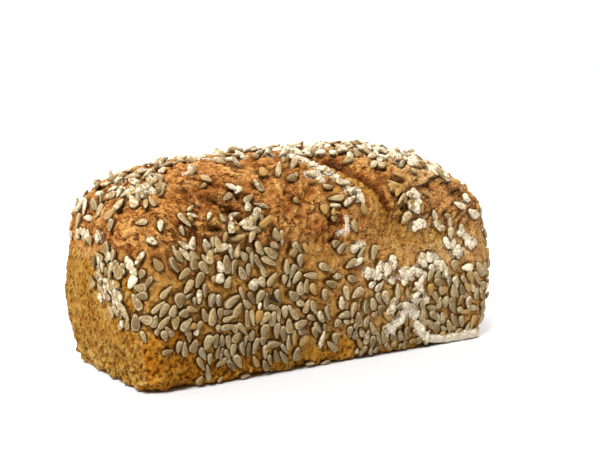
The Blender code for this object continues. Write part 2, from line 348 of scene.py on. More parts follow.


# %% [markdown]
# ## The coat of kernels
#
# On the real loaf the kernels lie as the dough picked them up: thick on the sides, thin
# on the torn crust, most of them with a tip up or down. The ones that can be seen in the
# reference picture were read off it one by one, in millimetres. Each row says
# how far along and how far up it lies, how far its tip leans to the right of upright in
# degrees, its length and width, and its look: f floury, g golden, b brown, d dark,
# w white, t pale and a little toasted, c chalky, k a black scrap of husk. A row that gives
# no look has the usual one of its face.

# %% Front, from the left corner to the first third
FRONT_LEFT = (
    (-118, 73.5, -25, 7.5, 4.5, "b"), (-109.8, 72.8, -25, 9.5, 4.2), (-106.1, 77, -25, 7, 3.5),
    (-123.6, 63.7, 31, 9.3, 2.6), (-115.2, 58.5, 49, 9, 3), (-104.1, 67.5, 50, 8.5, 3.8),
    (-108.2, 53.7, -10, 8.5, 5.8), (-102.3, 60.3, 38, 9, 3.6), (-95.2, 63.5, 25, 9.2, 4.4),
    (-92, 69.8, -35, 8.3, 4.5), (-98, 73, -5, 8, 5), (-90.5, 74.4, -30, 6.5, 3),
    (-92.3, 57.5, 3, 7.8, 3.2), (-96.1, 54.1, 8, 8, 3), (-102.3, 55.5, 68, 5, 2),
    (-99.1, 52.3, 0, 4, 2.2), (-88, 51.2, 5, 8, 5), (-119.5, 50.7, 50, 9.5, 2.8),
    (-116.8, 48.9, 33, 8.5, 4), (-111.8, 48.2, 15, 6.5, 4.5), (-106.1, 46.2, 80, 5.5, 4.6),
    (-100.9, 47.8, -72, 7, 3.2, "b"), (-121.6, 43, 15, 6.8, 3.8), (-116.8, 42.1, 38, 9, 3.4),
    (-110.5, 41.6, -5, 7.8, 4.2), (-104.1, 39.8, 42, 9, 4.2), (-100.2, 38.2, 80, 4.5, 3.5, "g"),
    (-92.5, 43.5, -22, 8.6, 3.4), (-87.7, 42, 10, 10.5, 5), (-129.7, 74.1, -20, 8, 5, "f"),
    (-128.4, 69.5, -60, 6, 4.6, "f"), (-125.6, 68.6, 20, 5, 4), (-129.6, 64, 20, 8, 5, "f"),
    (-126.8, 61.1, -80, 7, 5), (-126.6, 57, 75, 7.5, 4.6), (-128.8, 53.5, -25, 10, 4.2),
    (-129.4, 42.3, -5, 10, 4.6), (-125.4, 44, -75, 8, 5),
    (-113.9, 36.9, -35, 7.4, 3), (-116.4, 34.4, -15, 6.8, 3.4), (-120.2, 37.5, 25, 4.5, 3),
    (-126.6, 34.4, -18, 7, 2.6), (-103.6, 35.7, 10, 5, 3), (-102, 32.1, -10, 6.5, 2.8),
    (-107.7, 27.1, 10, 7, 3.2), (-104.3, 25.3, 2, 9, 3.6), (-98.6, 26.6, 20, 8.2, 4.6),
    (-89.8, 27.5, 12, 9.2, 5), (-114.3, 25, 72, 6.3, 3), (-92.5, 20.7, -33, 9, 3.8),
    (-93, 14.8, -25, 10, 3.4, "b"), (-88, 8.9, -14, 9.8, 3), (-92.7, 4.8, 25, 5.5, 3.6, "b"),
    (-97.3, 34.4, 30, 4, 3, "f"), (-96.1, 38, 30, 5.5, 2.6), (-87.7, 17.1, -10, 7, 3),
    (-86.4, 63, 0, 4, 3),
)

# %% Front, the thick coat left of the middle
FRONT_THICK = (
    (-81.8, 69.4, -20, 6.5, 4.2, "f"), (-77.8, 70.5, -4, 11, 4.6), (-73.2, 68.7, 12, 8.5, 3.8),
    (-74.4, 76, -5, 6, 2.8), (-71.2, 76.5, 5, 6, 3), (-66.6, 74.4, -45, 6.5, 4),
    (-60.8, 71.5, -6, 9, 2.8), (-62.5, 76.6, -30, 6, 2.5), (-57.2, 70, -15, 8.8, 3),
    (-55.2, 76, -45, 6, 4), (-48.3, 74.4, -55, 9.8, 5.4), (-50, 69.6, -62, 10.5, 4),
    (-53.9, 64.4, -12, 8, 4), (-67.6, 64.4, -18, 8.2, 4), (-63.3, 66, 5, 7, 3.4),
    (-83, 63, 80, 6, 5.4, "f"), (-77.3, 60.3, 20, 7, 4, "f"), (-60.3, 57.3, 25, 7, 5.8, "f"),
    (-55, 58, -25, 6, 4.6, "f"), (-48, 58.9, 50, 9.5, 3.8), (-83.5, 50.7, 0, 6.6, 3.6),
    (-74.6, 49.3, 60, 11, 5), (-68, 52.5, -22, 8.8, 2.4), (-65.3, 46.7, -40, 7, 3.6),
    (-61.9, 49.5, -28, 8, 3.2, "d"), (-56.6, 49.6, 15, 9, 4.4), (-52.3, 46.9, 8, 10, 3.6),
    (-71.2, 43.7, 30, 9, 5), (-77.5, 43.2, 80, 6, 3), (-77.1, 39.4, 72, 7.5, 3),
    (-82.3, 43, 8, 6.4, 3.4), (-77, 34.6, 88, 11, 3.4), (-64.6, 38, -6, 11, 2.8),
    (-61.2, 38, -10, 9.8, 3), (-57.1, 38, 12, 8, 4.6, "g"), (-53, 36.6, 38, 8.8, 4.6),
    (-47.5, 35.7, 10, 9.2, 4.6), (-47, 42.1, -78, 8, 3.4), (-67.3, 32.1, -37, 10.8, 3),
    (-72.3, 32.5, -15, 6, 3.6), (-71, 27.5, 28, 7, 4.6), (-80.5, 27.1, -2, 8.5, 3.2),
    (-84.6, 27.5, 0, 8, 3.2), (-76, 25.3, -4, 9.6, 3.6), (-60.7, 27.3, 10, 6.5, 3.6),
    (-52.5, 29.1, 4, 9.2, 5), (-57.8, 20.7, 12, 10.2, 3.4), (-62.3, 18.9, 0, 9, 2.4, "d"),
    (-66.4, 19.8, -14, 9, 4), (-72.5, 20.3, 10, 7.6, 4), (-76, 17.5, -25, 7.6, 3),
    (-82.5, 20.3, 5, 8, 3), (-80, 18.5, 12, 8, 2), (-79.6, 13.5, 55, 7.5, 3.6),
    (-68.5, 12.5, -32, 11, 4.4), (-72.8, 10.7, -38, 10, 3), (-56.6, 10.7, -28, 9, 3.2, "g"),
    (-50.7, 15.7, -10, 10, 3.4, "f"), (-49.4, 7.1, -22, 8.8, 3.4), (-46.9, 10.3, -18, 8, 2.6),
    (-45, 19.8, -82, 10, 4.4), (-53, 23, 0, 5, 4), (-62, 2.3, 80, 6.5, 1.6),
    (-79, 3, 40, 4, 2.5, "b"), (-84, 35, 0, 4, 3, "f"), (-56.6, 44.4, 15, 4, 2, "f"),
    (-64.6, 24.8, -5, 7, 2), (-46, 47, -40, 7.5, 1.6, "k"),
)

# %% Front, the middle
FRONT_MIDDLE = (
    (-43.7, 28, -3, 9.6, 4.2), (-39, 25.3, -6, 10, 4), (-35.1, 29.4, -8, 9, 4.4),
    (-32.8, 37.5, -30, 11, 4), (-38.5, 38.5, 0, 8, 4), (-43, 37.1, -4, 8, 2.8, "f"),
    (-27.1, 29.8, 85, 10.5, 5), (-25.5, 25, -75, 8, 4.4), (-19.6, 32.5, -62, 6.5, 3),
    (-31.5, 22.1, -5, 9.4, 3, "g"), (-35.1, 19.4, -5, 10, 2.8), (-37.4, 15.7, -32, 8, 2.6),
    (-24.2, 18.9, 35, 7.6, 5.4, "g"), (-27.8, 11.2, 3, 9.6, 4.6), (-37.4, 10.7, -42, 9.8, 3.6),
    (-42.6, 12.1, -25, 8.6, 3.4, "d"), (-14.4, 25.7, -32, 8.8, 3.6), (-16.2, 23, -30, 9, 3.4),
    (-10.3, 17.5, 2, 11.5, 4, "f"), (-8.7, 25.5, -35, 6, 3.4), (-1.8, 12, -46, 10, 4),
    (-12.6, 32.1, -22, 8, 4.6, "f"), (-8, 33.9, -12, 9.6, 3.6), (-18, 38.5, -10, 8.4, 4),
    (-27.4, 42.3, -60, 6, 4.6), (-22.9, 39.8, 22, 8.6, 4), (-32.8, 47.6, -42, 8, 5),
    (-27.6, 51.2, 3, 8.4, 5), (-23.3, 52.3, 8, 8.6, 4), (-17.8, 49.4, -28, 8, 4.6, "g"),
    (-10.1, 45.7, 3, 7, 4), (-5.8, 51.9, -65, 8, 4.4), (-19.9, 58, -76, 9.8, 3.8),
    (-9.6, 61.9, -65, 9.2, 4.2), (-30.3, 58, 35, 8, 5), (-33.5, 62.1, 22, 9, 3.4),
    (-37.6, 65.3, 6, 9, 4), (-39, 58, 10, 5.5, 3.4), (-27.6, 67.8, -10, 8, 4.6),
    (-33, 73, 80, 6, 5, "b"), (-43.7, 48.5, -22, 8.4, 4.2), (-23.3, 74.8, -10, 6, 2.6, "g"),
    (-30.5, 76.6, -45, 6, 4.2), (-2.4, 55.3, -60, 4, 2), (-16.5, 2.8, 85, 6, 1.6),
    (-5, 2, 75, 6, 2), (-35.3, 55.3, 5, 5, 2), (-44, 40, -5, 5, 2.4), (-1.3, 75.7, 85, 6, 4.4),
    (2.6, 72.8, 55, 8, 4), (12.6, 71.6, 45, 6.4, 4.4, "f"), (17.8, 68.5, 50, 8.5, 3, "f"),
    (15.5, 63, 40, 7, 3.6, "f"), (27.8, 67.5, 20, 9.6, 4.2), (9.6, 62.3, 55, 9, 3.6),
    (0, 55.7, -80, 6.5, 3.6), (10.8, 53, -74, 9.2, 4), (6, 44.8, -5, 9, 3.6),
    (14.2, 43.9, 55, 9, 5), (2.8, 39, -3, 8, 4, "f"), (11.7, 33.7, 14, 9.6, 4.4),
    (5, 31.2, 82, 8, 4), (7.1, 26.6, -58, 5, 3), (0.5, 26.6, 30, 5, 4, "f"),
    (11.5, 26.6, 0, 3, 2.6, "g"), (16.2, 27, -10, 10, 5), (20.5, 34.8, -4, 8.6, 4.2),
    (26.5, 35.7, -14, 8.4, 4.6), (31, 38.5, -34, 8.8, 4), (36.5, 38.5, -20, 9.6, 5),
    (22.4, 25.3, 18, 7.4, 3.8), (28.3, 28.9, 50, 5, 3), (32.4, 31.2, -8, 7, 3.6),
    (14.9, 22.5, -45, 5.6, 3.4), (10.8, 19.8, -10, 8, 3.4), (15.1, 17.5, 10, 6.4, 4),
    (20, 18, -20, 6, 3.6, "f"), (0.1, 16.6, -20, 8.6, 4), (19.2, 11.2, -35, 9, 3, "g"),
    (24.4, 14.3, 5, 10, 4, "f"), (27.8, 19.8, -32, 10.5, 3.6), (22.8, 5.3, 28, 7.6, 3.2),
    (29.2, 10.7, -5, 8.8, 4), (33.7, 12.5, -20, 9, 3), (37.4, 12.5, -20, 9.5, 3),
    (18.3, 5.7, 0, 4, 3), (33.5, 4.8, 20, 5, 3.5), (29.2, 4.4, -10, 5, 3.5),
    (26, 48, 70, 6, 4, "f"), (31.4, 46.2, 45, 9, 3.8, "f"), (22, 55.7, 30, 7, 4.6, "f"),
    (27.4, 53.5, -60, 7, 4.5, "f"), (32, 58, 15, 8, 5, "f"), (37, 56.6, -15, 7, 5, "f"),
    (36, 51, -52, 9, 3), (38.5, 26.5, -50, 8, 4, "g"), (40.5, 32.5, 0, 7, 3), (38, 17, -35, 8, 3.4),
)

# %% Front, the floury right third
FRONT_RIGHT = (
    (42.3, 58.5, 0, 7, 5, "f"), (46, 41.6, -5, 10, 4, "f"), (42, 49, -45, 7, 2, "f"),
    (42, 31.6, 10, 9, 5, "f"), (47, 32, 85, 6, 4, "f"), (52.8, 32, 85, 7, 3, "f"),
    (66, 49.5, 60, 6, 4, "f"), (65.8, 58, -45, 9, 6, "f"), (71.6, 49, 30, 7, 4),
    (63.5, 41.6, -42, 10, 4.6, "f"), (69.4, 34, -42, 8.5, 3.4, "f"), (59.4, 34.4, -30, 8, 4, "f"),
    (62.8, 29, -25, 7, 3), (66.4, 31.2, -25, 9.6, 3), (75.3, 27, -70, 7.5, 4),
    (69, 19.8, -42, 11, 4), (47.5, 26.6, 0, 4, 3), (60, 19, 10, 6, 3.5, "g"),
    (55, 20, -20, 7, 3, "g"), (40.3, 11.6, -20, 9, 3), (45.7, 12.5, -15, 8, 4),
    (51.5, 12, -25, 8, 4), (47.8, 6.2, -40, 5.5, 4.6, "g"), (56.2, 5.7, 0, 8, 2.6),
    (64, 6.2, 80, 7.5, 3, "b"), (68, 6, -40, 5, 4, "d"), (64.8, 12.5, -60, 6, 3, "f"),
    (42, 6, -50, 6, 3), (53, 4, 20, 4, 3), (78.5, 43.5, -40, 9, 4), (81.5, 30, 0, 8, 4),
    (78, 21.5, -45, 9, 4), (80, 12.5, -60, 8, 3), (78, 48.5, 20, 6, 4), (83.6, 50.3, 25, 8, 4.4),
    (90.5, 74.6, 30, 8, 5.5, "f"), (95.5, 61.2, -65, 9.5, 5, "f"), (110, 66.2, 60, 8, 5.6, "f"),
    (92.5, 53.5, -5, 7, 4.6), (104.8, 50.7, 90, 8.8, 5, "w"), (116, 49, -35, 11, 5.4),
    (101.8, 43, -50, 8, 3.4), (91.8, 37, -8, 8.6, 4), (95, 36.2, -22, 9.6, 3),
    (100, 37, -15, 7, 4, "d"), (105.5, 32.5, 75, 8, 3.5, "b"), (113.9, 32.5, 0, 8, 4.6),
    (86.8, 30, -15, 9, 4.6), (93.6, 25.7, -25, 9, 5), (86, 19.4, -20, 8, 4.4, "f"),
    (82.3, 19.4, -30, 9, 4, "f"), (101, 22.8, -75, 6.4, 4), (112.7, 22.5, -76, 9, 4),
    (96, 17, -38, 11, 4.6), (92.7, 13, -25, 9, 4), (103.2, 14.4, -20, 9, 4.2),
    (104, 7.8, -80, 7, 3), (97.3, 10.7, 0, 4, 4, "g"), (81.8, 38.5, -45, 6, 5),
    (82, 14, -35, 7, 3.4), (87.7, 11.6, -50, 6, 3), (121, 48.5, 0, 9, 4, "b"),
    (121, 24, 0, 6, 4, "b"),
)

# %% Left end: how far across, how far up, and the same four values
LEFT_END = (
    (29, 81, 0, 7, 4, "f"), (17.5, 83.5, 10, 7, 4.5, "f"), (2.7, 84.5, -10, 8, 5, "f"),
    (-13, 85, 20, 8, 5.5, "f"), (-24, 80.5, -5, 9.5, 5.6), (-30.5, 77, 0, 8.5, 5),
    (-5, 69.5, 0, 8, 4, "d"), (-10.6, 65.5, 10, 8.5, 4), (-17, 69, -10, 8.5, 5, "f"),
    (-28, 67.5, 5, 10.5, 4), (-37, 68.5, -15, 10, 5.4), (-2.8, 59, -25, 6, 3, "d"),
    (-21, 58.5, -50, 7, 4, "f"), (-29, 58, -35, 7, 4, "f"), (-35.5, 60, -40, 8.5, 4.6, "f"),
    (-15, 51, -30, 7, 4, "f"), (-24, 53, -50, 6.5, 4, "f"), (-39, 56, -35, 7.5, 4, "f"),
    (-36, 52, -45, 10, 4.4, "f"), (-27, 45, -40, 9, 4.2), (-41, 49.5, -35, 8.5, 3.8, "f"),
    (-43, 45.5, -40, 8.5, 4.2), (-25.6, 93, 0, 9, 4.6), (-14, 60, 20, 6, 3.4, "f"),
)

# %% Dome: how far along, how far up the arc, and the same four values
DOME = (
    (-125.5, 9.1, 15, 9, 3), (-119.8, 18.9, -55, 6.5, 4.4, "f"), (-114.1, 27.7, 8, 8, 3.4, "f"),
    (-122.7, 32.7, 80, 6.6, 3.4), (-100.9, 28.6, -38, 10, 3), (-103, 23, -40, 6, 3, "f"),
    (-97.5, 15, 28, 8, 4.6), (-103.2, 14.5, -50, 7, 3), (-102.7, 9.1, -42, 10, 3.4),
    (-107.5, 10, -25, 10, 3), (-97.3, 7.7, -40, 6, 3), (-89.8, 13.6, -10, 7.5, 4.2, "f"),
    (-85, 14.5, 20, 6, 3.4), (-82.3, 13.6, -5, 9, 3.8), (-78.2, 16.4, -5, 7, 2.4),
    (-74.5, 21.8, 5, 8.6, 4), (-70.5, 15.9, 42, 9, 4), (-75, 8.6, -15, 8, 2.6),
    (-70.5, 8.6, 10, 8, 2.8), (-121, 51, 10, 9, 5), (-125.5, 58, -25, 10, 5),
    (-124, 83, 65, 9, 4, "f"), (-119.5, 69, 80, 8, 4.5, "f"), (-114, 99, 20, 8, 5, "f"),
    (-111, 106, -60, 8, 5, "f"), (-130, 86, 5, 9, 4.5), (-130, 59, 0, 8, 5, "b"),
    (-100, 95, 85, 10, 4.5, "d"), (-88, 87, 60, 8, 4.5, "d"), (-104, 78, 70, 9, 4.5, "f"),
    (-96, 76, 40, 8, 4, "f"), (-113, 74, -20, 8, 4.5, "f"), (-107, 88, 80, 8, 4.5, "f"),
    (-111, 57, -60, 5, 4, "f"), (-116, 54.5, 5, 8, 3, "f"), (-117, 45, 15, 9, 3),
    (-113.6, 45, -10, 7, 3), (-105.5, 53, 45, 10, 3, "b"), (-107.7, 63.6, 10, 9, 4),
    (-102.7, 63.6, 15, 9, 4), (-84, 62.7, 20, 8, 5, "t"), (-80.5, 52, -40, 7, 4),
    (-67, 45.5, -10, 8, 4, "f"), (-71.5, 39.6, 60, 6, 3.4, "d"), (-67.7, 31, 85, 7, 3, "f"),
    (-95.5, 31, -75, 7, 2), (-49.3, 45, -32, 9, 4, "f"), (-58.4, 37.7, 55, 8, 3.4, "f"),
    (-52, 33, -75, 8, 2.5, "f"), (-56, 27.7, 20, 9, 4.4, "f"), (-51, 23.2, 35, 9.6, 4.6, "g"),
    (-60.2, 15.9, 38, 9, 4), (-44.3, 15.5, 0, 9, 4.2), (-40.2, 12.7, -5, 10, 2.8),
    (-56, 8.2, -25, 9, 4), (-45.6, 9, -42, 9, 3.6), (-8, 27.7, 0, 6, 5.4, "g"),
    (-24.7, 48.6, 85, 8, 4.6, "d"), (-31, 55, 38, 10, 3.4), (-41.8, 54.5, 0, 6, 5, "g"),
    (-17, 60, 55, 11, 4), (-27.5, 34, -30, 4, 3, "b"), (-8, 51, 70, 9, 4, "f"),
    (1, 33.6, -78, 10, 3.6), (10.5, 31.4, 62, 10, 4, "f"), (0, 29.5, -70, 7, 2.8),
    (-2, 26, 0, 4, 3, "g"), (-1.3, 22.3, 60, 5, 3.6, "b"), (20, 26.4, -12, 8, 4.4, "g"),
    (13, 15.9, -28, 8.4, 4.8), (21, 57.7, 62, 9.6, 3.6), (28, 64.5, 55, 10.5, 5, "w"),
    (38, 53, 60, 7, 4), (45, 53, 60, 8, 5), (54.5, 45.5, -70, 8, 4, "g"),
    (45.5, 36.8, -35, 9, 5, "g"), (52, 37, -50, 7, 4, "g"), (53.7, 31, -30, 7, 5, "g"),
    (58.7, 26, -40, 7, 4, "f"), (53.3, 18.6, 20, 9, 5), (2, 52.7, 0, 5, 4, "g"),
    (-1, 41.5, 75, 8, 4.5), (64.5, 58.5, 70, 9, 4), (69, 48, 70, 7, 4), (88, 48, 50, 9, 4.5, "g"),
    (72.5, 33, -65, 6, 2.6, "g"), (64, 32, -35, 8, 5, "f"), (62.5, 25, -40, 7, 5.5, "f"),
    (68, 24.5, 0, 8, 3, "g"), (78.5, 18.6, -15, 7, 3.4, "f"), (80, 11, -20, 8, 4.6, "f"),
    (90, 12, 10, 7, 4.4), (88, 17, -60, 6, 3.4), (98, 23.2, -62, 9.6, 4, "w"),
    (-96, 35, 60, 4.5, 2, "t"), (-91, 37, -30, 3.5, 2, "g"), (-86, 29, 40, 5, 2.4, "t"),
    (-79, 27, -20, 5, 3, "f"), (-74, 26, 70, 4.5, 2.4, "f"), (-97, 29, -60, 4, 2, "g"),
    (-60, 33, 10, 6, 4, "f"), (-64, 43, 40, 6, 4, "f"), (-20, 51, 10, 4, 2.2, "b"),
    (-22, 64, 50, 4, 2.4, "b"), (-60, 72, -50, 6, 3.4, "t"), (-84, 48, 70, 4, 2.2, "b"),
    (111, 17.3, -65, 10.5, 5.4, "w"), (107, 26.5, 80, 8, 3, "f"),
)

# %% Piles on the dome: along, up the arc, half their size each way, how many, and their look
PILES = (
    (-111, 58, 8, 6, 9, "t"), (-103, 63, 6, 4, 4, "t"), (-58, 21, 7, 5, 6, "t"),
    (-83, 9, 7, 4, 4, "t"), (-124, 70, 4, 12, 2, "t"), (-100, 84, 12, 5, 5, "t"),
    (-72, 86, 12, 4, 4, "t"), (-45, 82, 12, 4, 3, "t"), (-18, 77, 10, 4, 5, "c"),
    (8, 71, 10, 4, 5, "c"), (30, 69, 10, 4, 5, "c"), (50, 63, 12, 5, 7, "c"),
    (74, 57, 12, 5, 7, "c"), (96, 48, 9, 6, 6, "c"), (50, 36, 5, 7, 4, "g"),
    (62, 27, 4, 6, 4, "f"), (14, 40, 8, 4, 3, "f"),
)

PILES_ON_END = (  # across, up, half their size each way, how many
    (-32, 63, 7, 9, 10), (-20, 58, 7, 5, 8), (-35, 50, 5, 6, 7), (-18, 70, 8, 6, 5),
    (-28, 75, 6, 5, 5), (-40, 42, 4, 5, 4), (0, 84, 16, 3, 8), (-10, 62, 6, 5, 3),
)

# %% [markdown]
# ## Where flour caked
#
# Damp flour baked into chalky clumps, mostly on the right of the front and along the
# crest, and a long smear runs along the foot there. The clumps were read off in the same
# way: how far along, how far up, and half the size each way.

# %% Clumps of flour: along, up, and half their size each way
FLOUR_ON_FRONT = (
    (17.8, 73, 3, 2.2), (13, 71.5, 3, 2.5), (22, 56, 3.2, 3), (27, 54, 3.2, 2.6), (36, 57, 3, 3),
    (42.5, 58.5, 2.5, 3.5), (42, 49, 3.5, 1.2), (53, 51.6, 6.3, 4.2), (61, 53, 3, 2.6),
    (66, 50, 3, 2), (66, 58, 3, 4), (74, 60.5, 5, 2.3), (79, 55, 3, 4), (73.5, 54, 3, 1.2),
    (84, 50, 2.6, 3), (88, 68, 4, 2.5), (92.7, 68, 2.5, 2.2), (95.5, 61.5, 5.5, 2.6),
    (100.5, 74.4, 2.8, 2.2), (104, 72, 3, 1), (107, 70, 2.2, 2), (110, 66, 3.8, 2.8),
    (63.5, 42, 3, 3.5), (69.5, 34, 3, 2.5), (60, 35, 3, 3), (42, 31, 3, 4.5), (52, 32, 4, 1.4),
)
FLOUR_ON_DOME = (
    (-10.4, 72, 3.2, 2.4), (-8.4, 67.5, 3.6, 3), (-5.8, 63.7, 3.6, 3), (-2.8, 59.7, 3.6, 3),
    (0.3, 55.2, 3.6, 3), (3.7, 51, 3.4, 2.6), (7.7, 47.3, 3, 2.2), (12.5, 43, 2.2, 2.2),
    (-9.5, 50, 2.4, 1.6), (-3.5, 46.5, 2.6, 1.6), (13, 38, 3, 2), (18, 36, 2.4, 1.6),
    (19, 32, 1.5, 1.5), (7.6, 21, 1, 2), (8.3, 15.5, 1.5, 3), (3.3, 12.7, 3, 1.4), (-8, 51, 6, 3),
    (-116, 57, 3, 3), (62, 12.5, 3, 2.4), (68, 14, 2, 3), (84.5, 10, 1.2, 1.5),
    (64, 32, 4, 3), (62.5, 25, 3, 3.5), (107, 26.5, 3.5, 1.3), (-114, 58, 3.5, 2.5),
    (-110, 56, 3, 2.5), (-114, 99, 4, 4), (-119, 84, 3, 3), (-103, 74, 3.5, 3), (-86, 63, 3.5, 2),
    (50, 62, 4, 3), (62, 60, 4, 3), (73, 55, 4, 3), (86, 50, 4, 3), (95, 44, 3, 3), (78, 62, 4, 3),
    (12, 76, 4, 3), (28, 74, 4, 3), (44, 72, 5, 3), (58, 70, 5, 3), (-12, 74, 4, 2.5),
    (-26, 75, 4, 2), (-42, 78, 4, 2), (-58, 80, 4, 2), (90, 60, 4, 3), (100, 52, 3, 3),
    (70, 70, 5, 3),
)
FLOUR_ON_END = (
    (-21, 58, 3, 1.8), (-29, 55, 2.4, 1.4), (-15, 51, 2.4, 1.8), (-36, 58, 1.6, 1.6),
    (-34, 52, 2.6, 1.4), (-13, 85, 2.4, 2.4), (-24, 62, 1.6, 1.4), (10, 84, 3, 1.2),
)
FLOURED = ((on_front, FLOUR_ON_FRONT), (on_dome, FLOUR_ON_DOME), (on_left_end, FLOUR_ON_END))
SMEAR_HOOK = ((42, 17.5), (47, 19), (50, 24), (54, 28), (59, 27), (62, 23.5), (62.3, 20))
SMEAR_FOOT = ((64, 18), (67, 15), (70, 11), (74, 7.5), (77, 6), (83, 4.8), (90, 4.2), (104, 4),
              (118, 4))

# %% [markdown]
# ## Which parts are bare, golden, torn or browned
#
# Where the dough touched the tin it stayed golden and full of small pores: the ends, the
# foot of each side, and a tongue in the middle of it. The rest of the side dried to tan,
# and the dome went red-brown. These zones drive both the relief and the colour, so they
# are worked out once for every point. The far side has the same zones, turned round.

# %% Zones of the crust
BARE_LOW, BARE_AT_END = 10 * MM, 36 * MM
BARE_END_FROM, BARE_END_RISE = -90 * MM, 17 * MM
BARE_TONGUE, BARE_TONGUE_HALF = 9 * MM, 18 * MM
BARE_STOPS_AT, BARE_STOPS_IN, KERNELS_FROM = 20 * MM, 6 * MM, 3 * MM
END_FACES, END_SPAN = 0.62, 0.22
DOME_FROM, DOME_SPAN = 66 * MM, 20 * MM
PORES_TO, PORES_SPAN, PORES_EDGE = 68 * MM, 14 * MM, 3 * MM
TORN_FROM, TORN_SPAN, TORN_FADE = 6 * MM, 26 * MM, 6


def bare_height(along):
    """How high the kernel-free crust reaches from the base of a side."""
    low = BARE_LOW + (BARE_AT_END - BARE_LOW) * ease((BARE_END_FROM - along) / BARE_END_RISE)
    tongue = BARE_TONGUE * bell(along / BARE_TONGUE_HALF)
    foot = ease((BARE_STOPS_AT - along) / BARE_STOPS_IN)
    return (low + tongue) * foot + KERNELS_FROM * (1 - foot)


def seen_along(point):
    """How far along the front a point lies, or along the back when one stands behind it."""
    return point.x if point.y < 0 else -point.x


def zones(point, normal, tear):
    """Shares from 0 to 1 of end wall, dome, golden pores and torn crumb at a point."""
    end = ease((abs(normal.x) - END_FACES) / END_SPAN)
    dome = ease((point.z - DOME_FROM) / DOME_SPAN)
    below_rim = 1 - ease((point.z - PORES_TO) / PORES_SPAN)
    foot = 1 - ease((point.z - bare_height(seen_along(point))) / PORES_EDGE + 0.5)
    pores = max(end * below_rim, foot * (1 - end))
    gap, side, share = tear
    torn = (1 - ease((gap - TORN_FROM) / TORN_SPAN)) * ease(share * TORN_FADE)
    return end, dome, pores, torn if side < 0 else 0.0


for along in (-110, -60, 0, 60):
    print("bare crust at", along, "mm reaches", round(bare_height(along * MM) / MM, 1), "mm")

# %% [markdown]
# ## Flakes, cracks, pores and a ragged foot
#
# The fine relief is added in the same way. A noise that is cut into steps gives flakes
# with steep edges. Thin grooves follow the lines where a smooth noise is zero, which
# gives long ragged cracks and no straight ones. Pits and pores lie round scattered points,
# and the pores are drawn out along a slant, as the dough slid up the tin. How low a point
# lies is kept for the finish as painted shading: cracks, pits, pores and low places are
# painted darker, and high places lighter.

# %% Flakes, cracks and pits, each from 0 or -1 to 1
FLAKE = Vector((5.4, 3.6, 3.6)) * MM
CRACK = Vector((9.0, 4.6, 4.6)) * MM
PIT = Vector((4.6, 3.4, 3.4)) * MM
PORE = Vector((3.0, 2.6, 5.4)) * MM
PORE_TURN = math.radians(38)
PORE_SLANT = Matrix.Rotation(-PORE_TURN, 3, "X")
BEND_SIZE = 9 * MM
STEPS_PER_UNIT, STEP_STEEP, STEP_AT = 2.6, 2.6, 0.8
PIT_EDGE = 0.16


def in_pattern(point, size, bend=0.0):
    """A place in a pattern of the given size, bent a little so that nothing runs straight."""
    place = Vector(tuple(value / step for value, step in zip(point, size)))
    return place + bend * noise.noise_vector(point / BEND_SIZE)


def terraces(place):
    """Flat steps with steep edges, like crust that came off in flakes."""
    level = noise.noise(place) * STEPS_PER_UNIT + 0.6 * noise.noise(place * 2.3)
    step = math.floor(level)
    return (step + ease((level - step) * STEP_STEEP - STEP_AT)) / STEPS_PER_UNIT


def groove(place, narrow):
    """1 along the lines where a noise crosses zero, 0 away from them."""
    return clamp(1.0 - abs(noise.noise(place)) / narrow)


def pits(place, widest):
    """1 in a pit, 0 between the pits. One in three spots has none."""
    distances, centres = noise.voronoi(place + 0.35 * noise.noise_vector(place * 1.7))
    edge = widest * clamp(0.55 + noise.noise(centres[0] * 5.3))
    return ease((edge - distances[0]) / PIT_EDGE) if edge > 0.1 else 0.0


# %% Fine relief of the crust, and how low each point lies in it
FLAKE_HEIGHT, CRACK_DEPTH, PIT_DEPTH = 1.8 * MM, 1.3 * MM, 1.8 * MM
PORE_DEPTH, SCRATCH_DEPTH, SCRATCH_SIZE = 1.5 * MM, 0.8 * MM, 6 * MM
ROUGH = ((0.6 * MM, 5 * MM), (0.55 * MM, 2.3 * MM))  # height and size of each noise
ROUGHER_BELOW = 30 * MM
FOOT_BULGE, FOOT_BULGE_SIZE, FOOT_BULGE_BELOW = 1.5 * MM, 8 * MM, 16 * MM
CRACKS_COME_AND_GO, PITS_COME_AND_GO = 14 * MM, 19 * MM
TORN_EDGE, TORN_EDGE_SIZE, BESIDE_TEAR, BESIDE_CREVICE = 1.1 * MM, 2.6 * MM, 6 * MM, 5 * MM
RELIEF_SPAN = 3.0 * MM
RELIEF_FROM = 3 * MM


